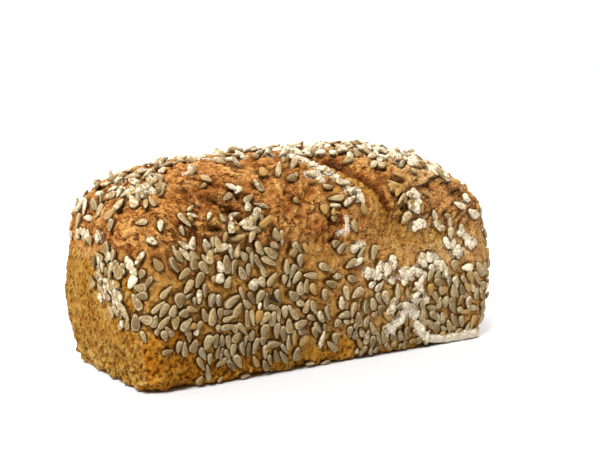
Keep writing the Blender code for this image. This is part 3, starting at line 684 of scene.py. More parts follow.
def fine_relief(point, masks, crevice, tear):
    """Height over the dough in metres, and painted shading from 0 to 1: dark low down, light high
    up.
    """
    end, dome, pores, torn = masks
    craggy = (0.25 + 0.75 * dome) * (1 - 0.6 * torn) * (1 - pores)
    rough = sum(rise * wave(point, size) for rise, size in ROUGH)
    rough *= 1 + (0.7 + 0.8 * (1 - ease(point.z / ROUGHER_BELOW))) * pores
    bulge = FOOT_BULGE * end * (0.6 + 1.4 * wave(point, FOOT_BULGE_SIZE))
    rough += bulge * (1 - ease(point.z / FOOT_BULGE_BELOW))
    flakes = terraces(in_pattern(point, FLAKE, 0.7))
    crack = groove(in_pattern(point, CRACK, 0.9), 0.13)
    crack *= clamp(0.5 + 2 * wave(point, CRACKS_COME_AND_GO))
    pit = pits(in_pattern(point, PIT, 0.4), 0.58) * clamp(0.7 + 1.5 * wave(point, PITS_COME_AND_GO))
    pore = pits(in_pattern(PORE_SLANT @ point, PORE), 0.46)
    height = rough + FLAKE_HEIGHT * flakes * craggy
    height -= (CRACK_DEPTH * crack + PIT_DEPTH * pit) * craggy + PORE_DEPTH * pore * pores
    scratched = Vector((point.x + point.z, point.y, 5 * (point.z - point.x))) / SCRATCH_SIZE
    scratch = groove(scratched, 0.3)
    height -= SCRATCH_DEPTH * torn * scratch
    edge = bell(tear[0] / BESIDE_TEAR) + bell(crevice[0] / BESIDE_CREVICE)
    height += TORN_EDGE * edge * wave(point, TORN_EDGE_SIZE)
    # painted shade in cracks, pits, pores and scratches, and painted light and shade by height
    low = max(crack * craggy, pit * craggy, pore * pores, 0.6 * scratch * torn)
    return height, clamp(0.5 * low + 0.5 - height / RELIEF_SPAN)


# %% The ragged foot: the crust curls up where it left the paper
FOOT_HEIGHT, FOOT_CURL = 8 * MM, 4.2 * MM
CURL_INSET = 2 * MM
NOTCHES = ((1.0, 13 * MM, 0.7), (0.6, 5 * MM, 3.1))  # strength, size, and a place in the noise


def foot_curl(point):
    """How far the foot is lifted at a point of its edge."""
    notch = sum(strength * noise.noise(Vector((point.x / size, point.y / size, level)))
                for strength, size, level in NOTCHES)
    return FOOT_CURL * clamp(2.4 * notch + 0.15) * (1 - ease(point.z / FOOT_HEIGHT))


masks_at = []
# painted shading by relief: darker where low or cracked, lighter where high
painted_relief_shading = crust.verts.layers.float.new("painted_relief_shading")
for vert, out, crevice, tear in zip(crust.verts, plain_normal, near_crevice, near_tear):
    point, normal = vert.co.copy(), vert.normal.copy()
    masks = zones(point, out, tear)
    masks_at.append(masks)
    if point.z > 1e-6:
        height, vert[painted_relief_shading] = fine_relief(point, masks, crevice, tear)
        vert.co += normal * height * ease(point.z / RELIEF_FROM)
    lifted = 1 - ease((from_foot(point) - CURL_INSET) / (FLAT_INSET - CURL_INSET))
    vert.co.z = max(vert.co.z, 0.0) + foot_curl(point) * lifted
crust.normal_update()
print("fine relief on", len(masks_at), "points")

# %% [markdown]
# ## Hollows
#
# Gas bubbles burst near the surface of the dome and left deep holes, some under an
# overhanging flake or kernel. Each is sunk into the crust and darkened inside with painted
# shade. Each is an ellipse: along, up the arc, and the two halves.

# %% Sinking the hollows and painting shade into them
HOLLOWS = (
    (-31, 40.5, 2.8, 1.6), (-36, 72, 5, 2), (-15.6, 66, 2.5, 1.8), (-31, 62, 1.8, 1.6),
    (-24.5, 59, 1.4, 1), (-11, 56, 2.6, 1), (-10, 44.5, 4.8, 1.2), (53.5, 42, 5, 2),
    (52.4, 25, 2.2, 2), (28.7, 69.5, 3.5, 2), (36, 65, 1.4, 3), (-83, 21, 4.5, 2.2),
    (-95, 23.6, 3, 2.6), (-44, 51, 1.8, 1.2), (72, 20.5, 1, 1.2), (-64.3, 39, 2, 2.5),
    (-61, 23, 4, 3), (-96, 50, 4, 1.2), (75, 38.5, 4, 1.4), (84, 42, 4, 1.6), (93, 37.5, 5, 1.6),
    (103, 33, 4, 1.4),
)
HOLLOW_DEPTH, HOLLOW_SHADE = 2.3 * MM, 0.9
SEARCH_MARGIN = 3 * MM

# the crust's painted shade: in hollows, in seats round kernels, and along tear, crevice and ledge
painted_shade = crust.verts.layers.float.new("painted_shade")
finder = kdtree.KDTree(len(crust.verts))
for vert in crust.verts:
    finder.insert(vert.co, vert.index)
finder.balance()


def around(spot, half_across, half_up, turn=0.0):
    """The crust's points near an ellipse, each with its distance outside the edge."""
    across = spot.across * math.cos(turn) - spot.upright * math.sin(turn)
    upright = spot.out.cross(across)
    reach = max(half_across, half_up) + SEARCH_MARGIN
    for _, index, _ in finder.find_range(spot.point, reach):
        vert = crust.verts[index]
        offset = vert.co - spot.point
        a, b = offset.dot(across), offset.dot(upright)
        stretch = math.hypot(a / half_across, b / half_up)
        yield vert, math.hypot(a, b) * (1 - 1 / max(stretch, 1e-6)), stretch


for x, arc, half_x, half_arc in HOLLOWS:
    spot = on_dome(x, arc)
    for vert, _, stretch in around(spot, half_x * MM, half_arc * MM):
        depth = 1 - ease((stretch - 0.55) / 0.7)
        vert.co -= spot.out * HOLLOW_DEPTH * depth
        # painted shade inside each hollow, kept for the finish
        vert[painted_shade] = max(vert[painted_shade], HOLLOW_SHADE * depth)
print("hollows:", len(HOLLOWS))

# %% [markdown]
# ## One kernel
#
# A hulled sunflower kernel is a flat drop, round at one end and pointed at the other,
# about nine millimetres long and two thick. A small sphere, narrowed towards one pole
# and flattened, has the shape in 60 faces, which matters when there are more than a
# thousand. Its height above its own rim is kept as a value called crown, and the finish
# uses it for the pale rim and the fine line inside it.

# %% The blank that every kernel is made from
KERNEL_SIDES, KERNEL_RINGS = 10, 6
KERNEL_TAPER = 0.52
KERNEL_FULLNESS = 0.78
KERNEL_ROUND, KERNEL_FLAT = 0.85, 0.65
KERNEL_THICK = (2.3 * MM, 3.3 * MM)


def kept(name, mesh):
    """Keeps a finished mesh as data."""
    data = bpy.data.meshes.new(name)
    mesh.to_mesh(data)
    mesh.free()
    return data


def add_copy(mesh, blank):
    """Adds the blank to the mesh and gives the new points."""
    first = len(mesh.verts)
    mesh.from_mesh(blank)
    mesh.verts.ensure_lookup_table()
    return mesh.verts[first:]


def powered(value, power):
    """A half-width from -0.5 to 0.5, made fuller by a power under 1."""
    return math.copysign(abs(2 * value) ** power / 2, value)


def kernel_blank():
    """One unit long along X, one wide, one thick."""
    mesh = bmesh.new()
    bmesh.ops.create_uvsphere(mesh, u_segments=KERNEL_SIDES, v_segments=KERNEL_RINGS, radius=0.5)
    bmesh.ops.rotate(mesh, verts=mesh.verts, matrix=Matrix.Rotation(math.pi / 2, 3, "Y"))
    crown = mesh.verts.layers.float.new("crown")
    for vert in mesh.verts:
        vert[crown] = abs(vert.co.z) * 2
        girth = 2 * math.hypot(vert.co.y, vert.co.z)
        fuller = girth ** (KERNEL_FULLNESS - 1) if girth > 0.01 else 1.0
        taper = (1.0 - KERNEL_TAPER * ease(vert.co.x + 0.5) ** 2) * fuller
        vert.co.y = powered(vert.co.y, KERNEL_ROUND) * taper
        vert.co.z = powered(vert.co.z, KERNEL_FLAT) * math.sqrt(taper)
    return kept("kernel_blank", mesh)


# %% [markdown]
# ## The rest of the coat
#
# The far side, the top behind the crest and the right end can't be seen in the picture.
# They get kernels by a rule: random places on the dough, kept apart, as thick as on the
# side that shows. Leaning stays mostly upright, as the dough was rolled one way.

# %% How thickly kernels lie where none were read off
SPACING, SPACING_IN_FRONT = 6.3 * MM, 5.2 * MM
TRIES = 26000
READ_OFF_ARC, READ_OFF_ARC_LEFT, READ_OFF_LEFT_OF = 64 * MM, 90 * MM, -60 * MM
LEFT_END_BELOW = 90 * MM
FACING_DOWN, FACING_LEFT, FACING_END = -0.5, -0.4, 0.72
CLEAR_FOOT = 4 * MM
GAPS_FILLED, GAPS_FROM, GAPS_SPAN, GAPS_BELOW, GAPS_FADE = 0.8, 36 * MM, 12 * MM, 48 * MM, 8 * MM
ON_END, ON_END_FROM, ON_END_SPAN, ON_END_UP, ON_END_RISE = 0.75, 26 * MM, 12 * MM, 40 * MM, 15 * MM
ON_END_ABOVE = 0.3
PATCH_SIZE = 24 * MM
BEHIND_FROM, BEHIND_SPAN = 110 * MM, 40 * MM
DOME_COAT = (  # up to how far along, how likely, and how much more behind the crest
    (-95 * MM, 0.3, 0.0), (-40 * MM, 0.18, 0.3), (0.0, 0.25, 0.5), (math.inf, 0.7, 0.0))


def wall_coat(point, on_end):
    """How likely a kernel is on the walls that don't show."""
    if not on_end:
        patch = 0.85 + 0.6 * wave(point, PATCH_SIZE)
        return clamp(patch) if point.z > bare_height(seen_along(point)) else 0.0
    if (point.y < 0) != (point.x > 0):
        return 0.0
    near_corner = ease((abs(point.y) - ON_END_FROM) / ON_END_SPAN)
    return ON_END * near_corner * ease((point.z - ON_END_UP) / ON_END_RISE)


def coat(point, normal):
    """How likely a kernel is at a point, from 0 to 1."""
    front = point.y < 0
    arc = arc_place(point).y
    on_end = abs(normal.x) > FACING_END
    if normal.z < FACING_DOWN or point.z < CLEAR_FOOT:
        return 0.0
    if front and not on_end and arc < READ_OFF_ARC:
        packed = ease((point.x - GAPS_FROM) / GAPS_SPAN) * ease((GAPS_BELOW - point.z) / GAPS_FADE)
        return GAPS_FILLED * packed
    if point.x < READ_OFF_LEFT_OF and point.z > RIM_HEIGHT and arc < READ_OFF_ARC_LEFT:
        return 0.0
    if normal.x < FACING_LEFT and not front and point.z < LEFT_END_BELOW:
        return 0.0
    if point.z < RIM_HEIGHT:
        return wall_coat(point, on_end)
    if on_end:
        return ON_END_ABOVE
    share, more = next(rule[1:] for rule in DOME_COAT if point.x < rule[0])
    return share + more * ease((arc - BEHIND_FROM) / BEHIND_SPAN)


# %% Laying the kernels that were read off, and those in clumps and piles
Kernel = namedtuple("Kernel", "spot lean length width look tilt rise")
LEAN_SPREAD, TIP_DOWN = 3, 0.55
CLUMP_SHARE, CLUMPS_FROM = 4.0, 18
SMALLER_ON_END = 0.82
rng = random.Random(SEED)
kernels = []


def lay(spot, lean, length, width, look="", loose=0.0):
    """Lays a kernel on a spot. Loose ones, on the dome, stand up more and sit higher."""
    lean = math.radians(lean + rng.gauss(0, LEAN_SPREAD))
    if rng.random() < TIP_DOWN:
        lean += math.pi
    roll, pitch = rng.gauss(0, 13 + 12 * loose), rng.gauss(0, 7 + 14 * loose)
    rise = (0.55 - 0.6 * loose + rng.random() * (0.5 + 1.5 * loose)) * MM
    kernels.append(Kernel(spot, lean, length * MM, width * MM, look, (roll, pitch), rise))


def pile(find, area, count, shift, lean, lengths, widths, looks, loose):
    """Lays kernels in an area. Shift and lean draw one random value each."""
    x, up, half_x, half_up = area
    for _ in range(count):
        place = x + shift() * half_x, up + shift() * half_up
        size = rng.uniform(*lengths), rng.uniform(*widths)
        lay(find(*place), lean(), *size, rng.choice(looks), loose)


def to_middle():
    """A share of the half size, mostly near the middle of an area."""
    return rng.gauss(0, 0.45)


def anywhere():
    """A share of the half size, anywhere in an area."""
    return rng.uniform(-1, 1)


def any_lean():
    return rng.uniform(-90, 90)


def lean_left():
    return rng.gauss(-20, 35)


for rows, usual in ((FRONT_LEFT + FRONT_THICK, "s"), (FRONT_MIDDLE + FRONT_RIGHT, "")):
    for x, up, lean, length, width, *look in rows:
        lay(on_front(x, up), lean, length, width, *(look or usual))
for across, up, lean, length, width, *look in LEFT_END:
    lay(on_left_end(across, up), lean, length * SMALLER_ON_END, width * SMALLER_ON_END, *look)
for x, arc, lean, length, width, *look in DOME:
    lay(on_dome(x, arc), lean, length, width, *(look or "t"), loose=0.8)
print("kernels read off:", len(kernels))
for find, rows in FLOURED[:2]:
    for area in rows:
        count = round(area[2] * area[3] / CLUMP_SHARE) if area[0] > CLUMPS_FROM else 0
        pile(find, area, count, to_middle, any_lean, (5.5, 8.5), (3.4, 4.8), "wwf", 0.5)
for *area, count, look in PILES:
    pile(on_dome, area, count, anywhere, any_lean, (7.5, 10), (3.2, 4.3), look * 3 + "tfb", 1.5)
for *area, count in PILES_ON_END:
    pile(on_left_end, area, count, anywhere, lean_left, (4.5, 7), (2.4, 3.4), "ssfbf", 0.3)
print("with those in clumps of flour and in piles:", len(kernels))

# %% Scattering the rest
DOME_LOOKS, WALL_LOOKS = "tcfcctfb", "  fgbf "  # a space is the usual look
LOOSE_ABOVE = RIM_HEIGHT * 1.2
scatter = crust.copy()
bmesh.ops.triangulate(scatter, faces=scatter.faces)
triangles = list(scatter.faces)
areas = [face.calc_area() for face in triangles]
taken = kdtree.KDTree(len(kernels))
for index, kernel in enumerate(kernels):
    taken.insert(kernel.spot.point, index)
taken.balance()
chosen = []
for face in rng.choices(triangles, weights=areas, k=TRIES):
    point, normal, _, _ = dough.find_nearest(face.calc_center_median())
    spacing = SPACING if point.y > 0 or point.z > RIM_HEIGHT else SPACING_IN_FRONT
    if rng.random() > coat(point, normal) or taken.find(point)[2] < spacing:
        continue
    if all((point - other).length > spacing for other in chosen):
        chosen.append(point)
        lean = rng.gauss(0, 34) if rng.random() < 0.8 else any_lean()
        look = rng.choice(DOME_LOOKS if point.z > RIM_HEIGHT else WALL_LOOKS).strip()
        length, width = rng.uniform(7.2, 10.2), rng.uniform(3.2, 4.8)
        loose = 1.0 if point.z > LOOSE_ABOVE else 0.0
        lay(spot_at(point, normal), lean, length, width, look, loose)
scatter.free()
print("kernels in all:", len(kernels))

# %% [markdown]
# ## Making the kernels
#
# Every kernel is the blank, sized, tilted and laid on its spot, with a little noise in
# its shape so that no two are alike. All of them end up in one mesh. Four values say how
# each one looks: its tone, how toasted it is, how floury, and how dark. A fifth, under,
# says how far below a kernel's middle a point lies, for the painted shade beneath those
# on the dome.

# %% One mesh with all the kernels in it
LOOKS = {  # tone, toast, flour, dark
    "": (0.55, 0.06, 0.10, 0.0),
    "s": (0.38, 0.10, 0.08, 0.02),
    "f": (0.80, 0.04, 0.42, 0.0),
    "g": (0.60, 0.75, 0.05, 0.0),
    "b": (0.30, 0.40, 0.00, 0.10),
    "d": (0.25, 0.30, 0.00, 0.45),
    "t": (0.90, 0.28, 0.30, 0.0),
    "c": (1.00, 0.14, 0.62, 0.0),
    "w": (0.90, 0.00, 0.68, 0.0),
    "k": (0.00, 0.00, 0.00, 1.0),
}
LOOK_SPREAD = (0.34, 0.08, 0.12, 0.08)
VALUES = ("tone", "toast", "flour", "dark")
LONGER, WIDER, THICK_SHARE = 1.05, 1.22, 0.65
UNEVEN, UNEVEN_LUMPS = 0.045, 2.2
UNDERSIDE_REACH = 1.2 * MM
FLOOR_GAP = 0.2 * MM
ROOM = (3.0 * MM, 1.5 * MM, 3.4 * MM)


def kernel_matrix(kernel):
    """Lays a blank on its spot: X to the tip, Z out of the crust."""
    spot = kernel.spot
    tip = spot.upright * math.cos(kernel.lean) + spot.across * math.sin(kernel.lean)
    side = spot.out.cross(tip)
    basis = Matrix((tip, side, spot.out)).transposed()
    roll, pitch = (math.radians(value) for value in kernel.tilt)
    basis = basis @ Matrix.Rotation(roll, 3, "X") @ Matrix.Rotation(pitch, 3, "Y")
    thick = clamp(kernel.width * THICK_SHARE, *KERNEL_THICK)
    size = Matrix.Diagonal((kernel.length * LONGER, kernel.width * WIDER, thick))
    return Matrix.Translation(spot.point + spot.out * kernel.rise) @ (basis @ size).to_4x4()


def beyond(points):
    """How far points stick out past the room round the solid, as the step to take back."""
    step = Vector()
    for axis in range(3):
        low, high = (corner[axis] for corner in solid_box)
        step[axis] += max(0.0, max(point[axis] for point in points) - high - ROOM[axis])
        step[axis] += min(0.0, min(point[axis] for point in points) - low + ROOM[axis])
    return step


def make_kernels():
    blank = kernel_blank()
    mesh = bmesh.new()
    for name in ("crown", "under") + VALUES:
        mesh.verts.layers.float.new(name)
    for kernel in kernels:
        verts = add_copy(mesh, blank)
        layers = [mesh.verts.layers.float[name] for name in VALUES]
        under = mesh.verts.layers.float["under"]
        matrix = kernel_matrix(kernel)
        look = zip(LOOKS[kernel.look], LOOK_SPREAD)
        values = [mean + rng.gauss(0, spread) for mean, spread in look]
        odd = Vector((rng.uniform(0, 50), 0, 0))
        for vert in verts:
            vert.co = matrix @ (vert.co + noise.noise_vector(vert.co * UNEVEN_LUMPS + odd) * UNEVEN)
        too_far = beyond([vert.co for vert in verts])
        middle = matrix.translation - too_far
        for vert in verts:
            vert.co -= too_far
            below = (middle - vert.co).dot(kernel.spot.out)
            # painted shade on the lower side of the kernels on the dome, kept for the finish
            vert[under] = ease(below / UNDERSIDE_REACH) if middle.z > RIM_HEIGHT else 0.0
            vert.co.z = max(vert.co.z, FLOOR_GAP)
            for layer, value in zip(layers, values):
                vert[layer] = clamp(value)
    bpy.data.meshes.remove(blank)
    return mesh


def as_piece(name, mesh):
    """A finished piece with its place in its mesh."""
    data = kept(name, mesh)
    data.shade_smooth()
    piece = bpy.data.objects.new(name, data)
    bpy.context.scene.collection.objects.link(piece)
    print(name + ":", len(data.polygons), "faces")
    return piece


kernel_piece = as_piece("sunflower_kernels", make_kernels())

# %% [markdown]
# ## Seats
#
# The dough rose round the kernels and shrank back as it dried, so each lies in a shallow
# seat. The crust is lowered along a narrow ring round every kernel, and the same ring is
# kept for the finish as painted shade, a dark ring that stands in for the shadow in the gap.

# %% Lowering the crust round every kernel, and painting shade round it
SEAT_DEPTH, SEAT_REACH, SEAT_TIGHT = 1.0 * MM, 0.8 * MM, 0.2 * MM
SEAT_SHADE, SEAT_SHADE_ON_DOME = 0.62, 0.72
SEAT_WIDTH_SHARE, SEATS_FROM = 0.54, 1.5 * MM
LESS_AT_RIGHT, LESS_FROM, LESS_SPAN = 0.45, -10 * MM, 50 * MM
LESS_AT_FOOT, LESS_BELOW = 0.25, 25 * MM
lowered = [0.0] * len(crust.verts)
for kernel in kernels:
    place = kernel.spot.point
    half_across, half_up = kernel.width * SEAT_WIDTH_SHARE, kernel.length / 2
    shade = SEAT_SHADE_ON_DOME if place.z > RIM_HEIGHT * 1.1 else SEAT_SHADE
    shade *= 1 - LESS_AT_RIGHT * ease((place.x - LESS_FROM) / LESS_SPAN)
    shade *= 1 - LESS_AT_FOOT * (1 - ease(place.z / LESS_BELOW))
    for vert, gap, _ in around(kernel.spot, half_across, half_up, kernel.lean):
        depth = bell(max(gap - SEAT_TIGHT, 0.0) / SEAT_REACH)
        deeper = SEAT_DEPTH * depth - lowered[vert.index]
        if deeper > 0 and vert.co.z > SEATS_FROM:
            vert.co -= kernel.spot.out * deeper
            lowered[vert.index] += deeper
        # painted shade round the kernel, darkest at its edge
        vert[painted_shade] = max(vert[painted_shade], shade * depth)
print("seats:", len(kernels))

# %% [markdown]
# ## Caked flour
#
# Flour that got damp baked into chalky lumps, mostly on the right of the front, and a
# long smear runs along its foot. Each lump is a small sphere pressed onto whatever lies
# under it, crust or kernel, so it drapes over the kernels and thins out at its edge.

# %% Pressing a lump onto the crust and the kernels
LUMP_DETAIL, SMEAR_DETAIL, CRUMB_DETAIL = 4, 3, 1
LUMP_THICK, SMEAR_THICK, LUMP_SINK = 0.36 * MM, 0.5 * MM, 0.34
LUMP_FILL, HOOK_FILL, SMEAR_FILL = 0.2 * MM, 0.7 * MM, 1.5 * MM
LUMP_SHARE, SMEAR_ROUGH, THIN_BELOW = 0.78, 0.3, 0.45
RAGGED, CLOTS = ((0.7, 1.7), (0.55, 4.5)), ((1.1, 3.1), (1.3, 8.0))  # strength and fineness
LUMP_STEP = 2.4 * MM
CRUMBS_PER_AREA, CRUMB_SPREAD = 1.1 / MM ** 2, 0.62
CRUMB_RADIUS = (0.24 * MM, 0.70 * MM)
CRUMB_SQUASH = ((0.7, 1.3), (0.6, 1.0), (0.5, 0.9))
CRUMBS_FROM = 1.5 * MM
ABOVE_ALL = 6 * MM


def surface_tree():
    """What flour can lie on: the crust and the kernels together."""
    mesh = crust.copy()
    mesh.from_mesh(kernel_piece.data)
    tree = BVHTree.FromBMesh(mesh)
    mesh.free()
    return tree


def ball_blank(detail):
    mesh = bmesh.new()
    bmesh.ops.create_icosphere(mesh, subdivisions=detail, radius=1.0)
    return kept("ball_blank", mesh)


def layered(noises, ball, odd):
    """A sum of noises, each with its strength and how fine it is."""
    return sum(strength * noise.noise(ball * fine + odd) for strength, fine in noises)


def press_lump(mesh, under, spot, half_across, half_up, thick, fill):
    """One lump, as thick as given over what lies under it, and at least as high as fill."""
    odd = Vector((rng.uniform(0, 90), 0, 0))
    thin_flour_and_shade = mesh.verts.layers.float["thin_flour_and_shade"]
    smear = fill == SMEAR_FILL
    rough = SMEAR_ROUGH if smear else 1.0
    for vert in add_copy(mesh, smear_blank if smear else lump_blank):
        ball = vert.co.copy()
        ragged = 1 + rough * layered(RAGGED, ball, odd)
        offset = spot.across * ball.x * half_across * ragged
        offset += spot.upright * ball.y * half_up * ragged
        hit, _, _, _ = under.ray_cast(spot.point + offset + spot.out * ABOVE_ALL, -spot.out)
        base = hit if hit else spot.point + offset
        short = fill * max(ball.z, 0.0) ** 0.5 - (base - spot.point - offset).dot(spot.out)
        base = base + spot.out * max(0.0, short)
        swell = 1 + rough * layered(CLOTS, ball, -odd) if ball.z > 0 else 0.6
        lift = ball.z * swell - LUMP_SINK
        vert.co = base + spot.out * thick * lift
        # low parts of a lump, at its edge and between its clots: tan in the finish, partly crust
        # through thin flour, partly painted shade
        vert[thin_flour_and_shade] = 1 - ease(lift / THIN_BELOW) if fill < HOOK_FILL else 0.0
        vert.co -= beyond([vert.co])
        vert.co.z = max(vert.co.z, FLOOR_GAP)


def drop_crumbs(mesh, blank, under, spot, half_across, half_up):
    """Loose crumbs of flour, densest in the middle of a clump."""
    for _ in range(round(CRUMBS_PER_AREA * math.pi * half_across * half_up)):
        offset = spot.across * rng.gauss(0, CRUMB_SPREAD) * half_across
        offset += spot.upright * rng.gauss(0, CRUMB_SPREAD) * half_up
        hit, _, _, _ = under.ray_cast(spot.point + offset + spot.out * ABOVE_ALL, -spot.out)
        if hit is None or hit.z < CRUMBS_FROM:
            continue
        radius = CRUMB_RADIUS[0] + (CRUMB_RADIUS[1] - CRUMB_RADIUS[0]) * rng.random() ** 2
        turn = Matrix.Rotation(rng.uniform(0, math.tau), 4, rng.choice("XYZ"))
        squash = Matrix.Diagonal([rng.uniform(*span) for span in CRUMB_SQUASH] + [1])
        place = Matrix.Translation(hit) @ turn @ squash @ Matrix.Scale(radius, 4)
        for vert in add_copy(mesh, blank):
            vert.co = place @ vert.co


def smear_spots(route, half_from, half_to):
    """Spots along a smear, each with its half width."""
    points = [Vector(point) * MM for point in route]
    total = sum((b - a).length for a, b in zip(points, points[1:]))
    passed = 0.0
    for start, end in zip(points, points[1:]):
        steps = max(1, round((end - start).length / LUMP_STEP))
        for step in range(steps):
            place = start.lerp(end, step / steps)
            share = (passed + (place - start).length) / total
            yield on_front(place.x / MM, place.y / MM), half_from + (half_to - half_from) * share
        passed += (end - start).length


flour = bmesh.new()
flour.verts.layers.float.new("thin_flour_and_shade")
under_flour = surface_tree()
lump_blank, smear_blank, crumb_blank = (
    ball_blank(detail) for detail in (LUMP_DETAIL, SMEAR_DETAIL, CRUMB_DETAIL))
clumps = [(find(x, up), LUMP_SHARE * half_x * MM, LUMP_SHARE * half_up * MM, LUMP_THICK, LUMP_FILL)
          for find, rows in FLOURED for x, up, half_x, half_up in rows]
clumps += [(spot, half * rng.uniform(0.6, 1.4), half * rng.uniform(0.6, 1.4), LUMP_THICK, HOOK_FILL)
           for spot, half in smear_spots(SMEAR_HOOK, 3.2 * MM, 2.6 * MM)]
clumps += [(spot, 1.7 * half, 0.98 * half, SMEAR_THICK, SMEAR_FILL)
           for spot, half in smear_spots(SMEAR_FOOT, 2.0 * MM, 4.2 * MM)]
for clump in clumps:
    press_lump(flour, under_flour, *clump)
    if clump[-1] < SMEAR_FILL:
        drop_crumbs(flour, crumb_blank, under_flour, *clump[:3])
flour_piece = as_piece("caked_flour", flour)

# %% [markdown]
# ## What the crust's finish needs to know
#
# A finish can only be as good as what it is told. Each point of the crust carries how
# far it is baked, how porous, how torn, how dusty, and how deep in painted shade it lies.

# %% Values on the crust
bake, pores_value, dome_value, golden, foot_value, dust = (
    crust.verts.layers.float.new(name)
    for name in ("bake", "pores", "domed", "golden", "foot", "dust"))
TAN, DOME_BROWN, END_GOLD, FOOT_GOLD, CRUMB_GOLD = 0.36, 0.42, 0.26, 0.23, 0.16
FOOT_GOLD_MORE, FOOT_GOLD_FROM, FOOT_GOLD_SPAN = 0.20, -70 * MM, 40 * MM
WARM_SIDE, WARM_UNTIL, WARM_SPAN = 0.5, 30 * MM, 50 * MM
WARM_LOW_TO, WARM_LOW_SPAN, WARM_LOW_FOOT = 12 * MM, 16 * MM, 0.7
# the crevice's extra bake is painted shade in it
TEAR_BAKED, PAINTED_CREVICE_DARKENING, LEDGE_BAKED = (0.42, 1.6 * MM), (0.08, 4 * MM), (0.24, 6 * MM)
TEAR_SHADE, CREVICE_SHADE, LEDGE_SHADE = (0.5, 1.1 * MM), (0.8, 2.0 * MM), (0.5, 1.6 * MM)
CRUMB_FROM, CRUMB_SPAN = 8 * MM, 12 * MM
TANNED_FROM, TANNED_SPAN, TANNED_ARC, TANNED_FADE = 30 * MM, 50 * MM, 62 * MM, 20 * MM
DUST, DUST_FROM, DUST_SPAN, DUST_ABOVE, DUST_RISE = 0.28, 20 * MM, 50 * MM, 35 * MM, 20 * MM
CLUMP_DUST, CLUMP_DUST_REACH = 0.6, 1.4 * MM
GOLD_PATCHES = (  # along, up the arc, half sizes
    (-63, 19.5, 7, 3.5), (-80, 30, 4, 2.5), (-52, 24, 3.5, 3), (48, 27, 6, 4), (14, 49, 4, 2.6),
    (21, 43, 4, 2.6), (27, 37, 4, 3), (32, 31, 4, 3), (37, 24, 4, 4), (-92, 60, 5, 2),
    (-20, 70, 6, 2), (0, 62, 3, 2), (60, 44, 5, 3), (85, 40, 8, 4), (70, 52, 6, 4), (45, 58, 6, 3),
)
PATCHES = (  # along, up the arc, half sizes, and how much more baked
    (-72, 21, 14, 6, -0.3), (18, 43, 9, 5, -0.12), (-88, 62, 9, 7, 0.16), (-76, 46, 8, 4, 0.2),
    (-40, 74, 16, 6, 0.16), (-100, 44, 12, 6, 0.1), (-35, 22, 12, 8, -0.08),
    (85, 31, 20, 5, -0.10), (75, 50, 30, 14, -0.34), (10, 28, 16, 10, -0.08),
    (24, 55, 16, 8, -0.14), (60, 64, 30, 8, -0.15), (-30, 38, 7, 5, 0.14), (-58, 58, 16, 9, -0.08),
    (-108, 26, 10, 7, -0.08),
)


def near(gap, strength, reach):
    """The strength at a line, and less to both sides of it."""
    return strength * bell(gap / reach)


marks = zip(crust.verts, masks_at, near_crevice, near_tear, near_ledge)
for vert, (end, dome, pores, below_tear), crevice, (gap, side, share), ledge in marks:
    in_tear = ease(share * 6) * (1 - ease((share - 0.7) / 0.15))
    along = seen_along(vert.co)
    foot_gold = FOOT_GOLD - FOOT_GOLD_MORE * ease((along - FOOT_GOLD_FROM) / FOOT_GOLD_SPAN)
    warm = ease((WARM_UNTIL - along) / WARM_SPAN)
    warm_low = warm * (1 - end) * (1 - ease((vert.co.z - WARM_LOW_TO) / WARM_LOW_SPAN))
    value = TAN * (1 - dome) + DOME_BROWN * dome
    value += (foot_gold - value) * 0.6 * warm_low
    value += (END_GOLD * end + foot_gold * (1 - end) - value) * pores
    value += (CRUMB_GOLD - value) * 0.85 * below_tear
    value += in_tear * near(gap if side < 0 else gap * 0.7, *TEAR_BAKED)
    # painted shade: more bake, so darker crust, along the crevice
    value += near(crevice[0], *PAINTED_CREVICE_DARKENING)
    value += near(ledge[0], *LEDGE_BAKED) if ledge[1] < 0 else 0.0
    vert[bake] = clamp(value)
    vert[pores_value] = pores
    vert[foot_value] = max(pores * (1 - end), WARM_LOW_FOOT * warm_low)
    tanned = ease((vert.co.x - TANNED_FROM) / TANNED_SPAN)
    tanned *= 1 - ease((arc_place(vert.co).y - TANNED_ARC) / TANNED_FADE)
    vert[dome_value] = dome * (1 - 0.6 * below_tear) * (1 - 0.35 * tanned)
    crumb = below_tear * bell(max(gap - CRUMB_FROM, 0.0) / CRUMB_SPAN)
    vert[golden] = max(pores, WARM_SIDE * warm, warm_low, crumb)
    # painted shade along the tear, the crevice and the ledge
    vert[painted_shade] = max(vert[painted_shade], in_tear * near(gap, *TEAR_SHADE),
                       near(crevice[0], *CREVICE_SHADE), near(ledge[0], *LEDGE_SHADE))
    floury = ease((vert.co.x - DUST_FROM) / DUST_SPAN)
    floury *= ease((vert.co.z - DUST_ABOVE) / DUST_RISE)
    vert[dust] = DUST * floury * (1 - pores)
for x, arc, half_x, half_arc, change in PATCHES:
    for vert, _, stretch in around(on_dome(x, arc), half_x * MM, half_arc * MM):
        vert[bake] = clamp(vert[bake] + change * (1 - ease((stretch - 0.3) / 0.9)))
for x, arc, half_x, half_arc in GOLD_PATCHES:
    for vert, _, stretch in around(on_dome(x, arc), half_x * MM, half_arc * MM):
        share = 1 - ease((stretch - 0.4) / 0.9)
        vert[golden] = max(vert[golden], share)
        vert[foot_value] = max(vert[foot_value], 0.6 * share)
        vert[dome_value] *= 1 - 0.85 * share
        vert[bake] -= (vert[bake] - CRUMB_GOLD) * share * 0.7
for find, rows in FLOURED:
    for x, up, half_x, half_up in rows:
        for vert, gap, _ in around(find(x, up), half_x * MM, half_up * MM):
            vert[dust] = max(vert[dust], near(max(gap, 0.0), CLUMP_DUST, CLUMP_DUST_REACH))
crust_piece = as_piece("crust", crust)

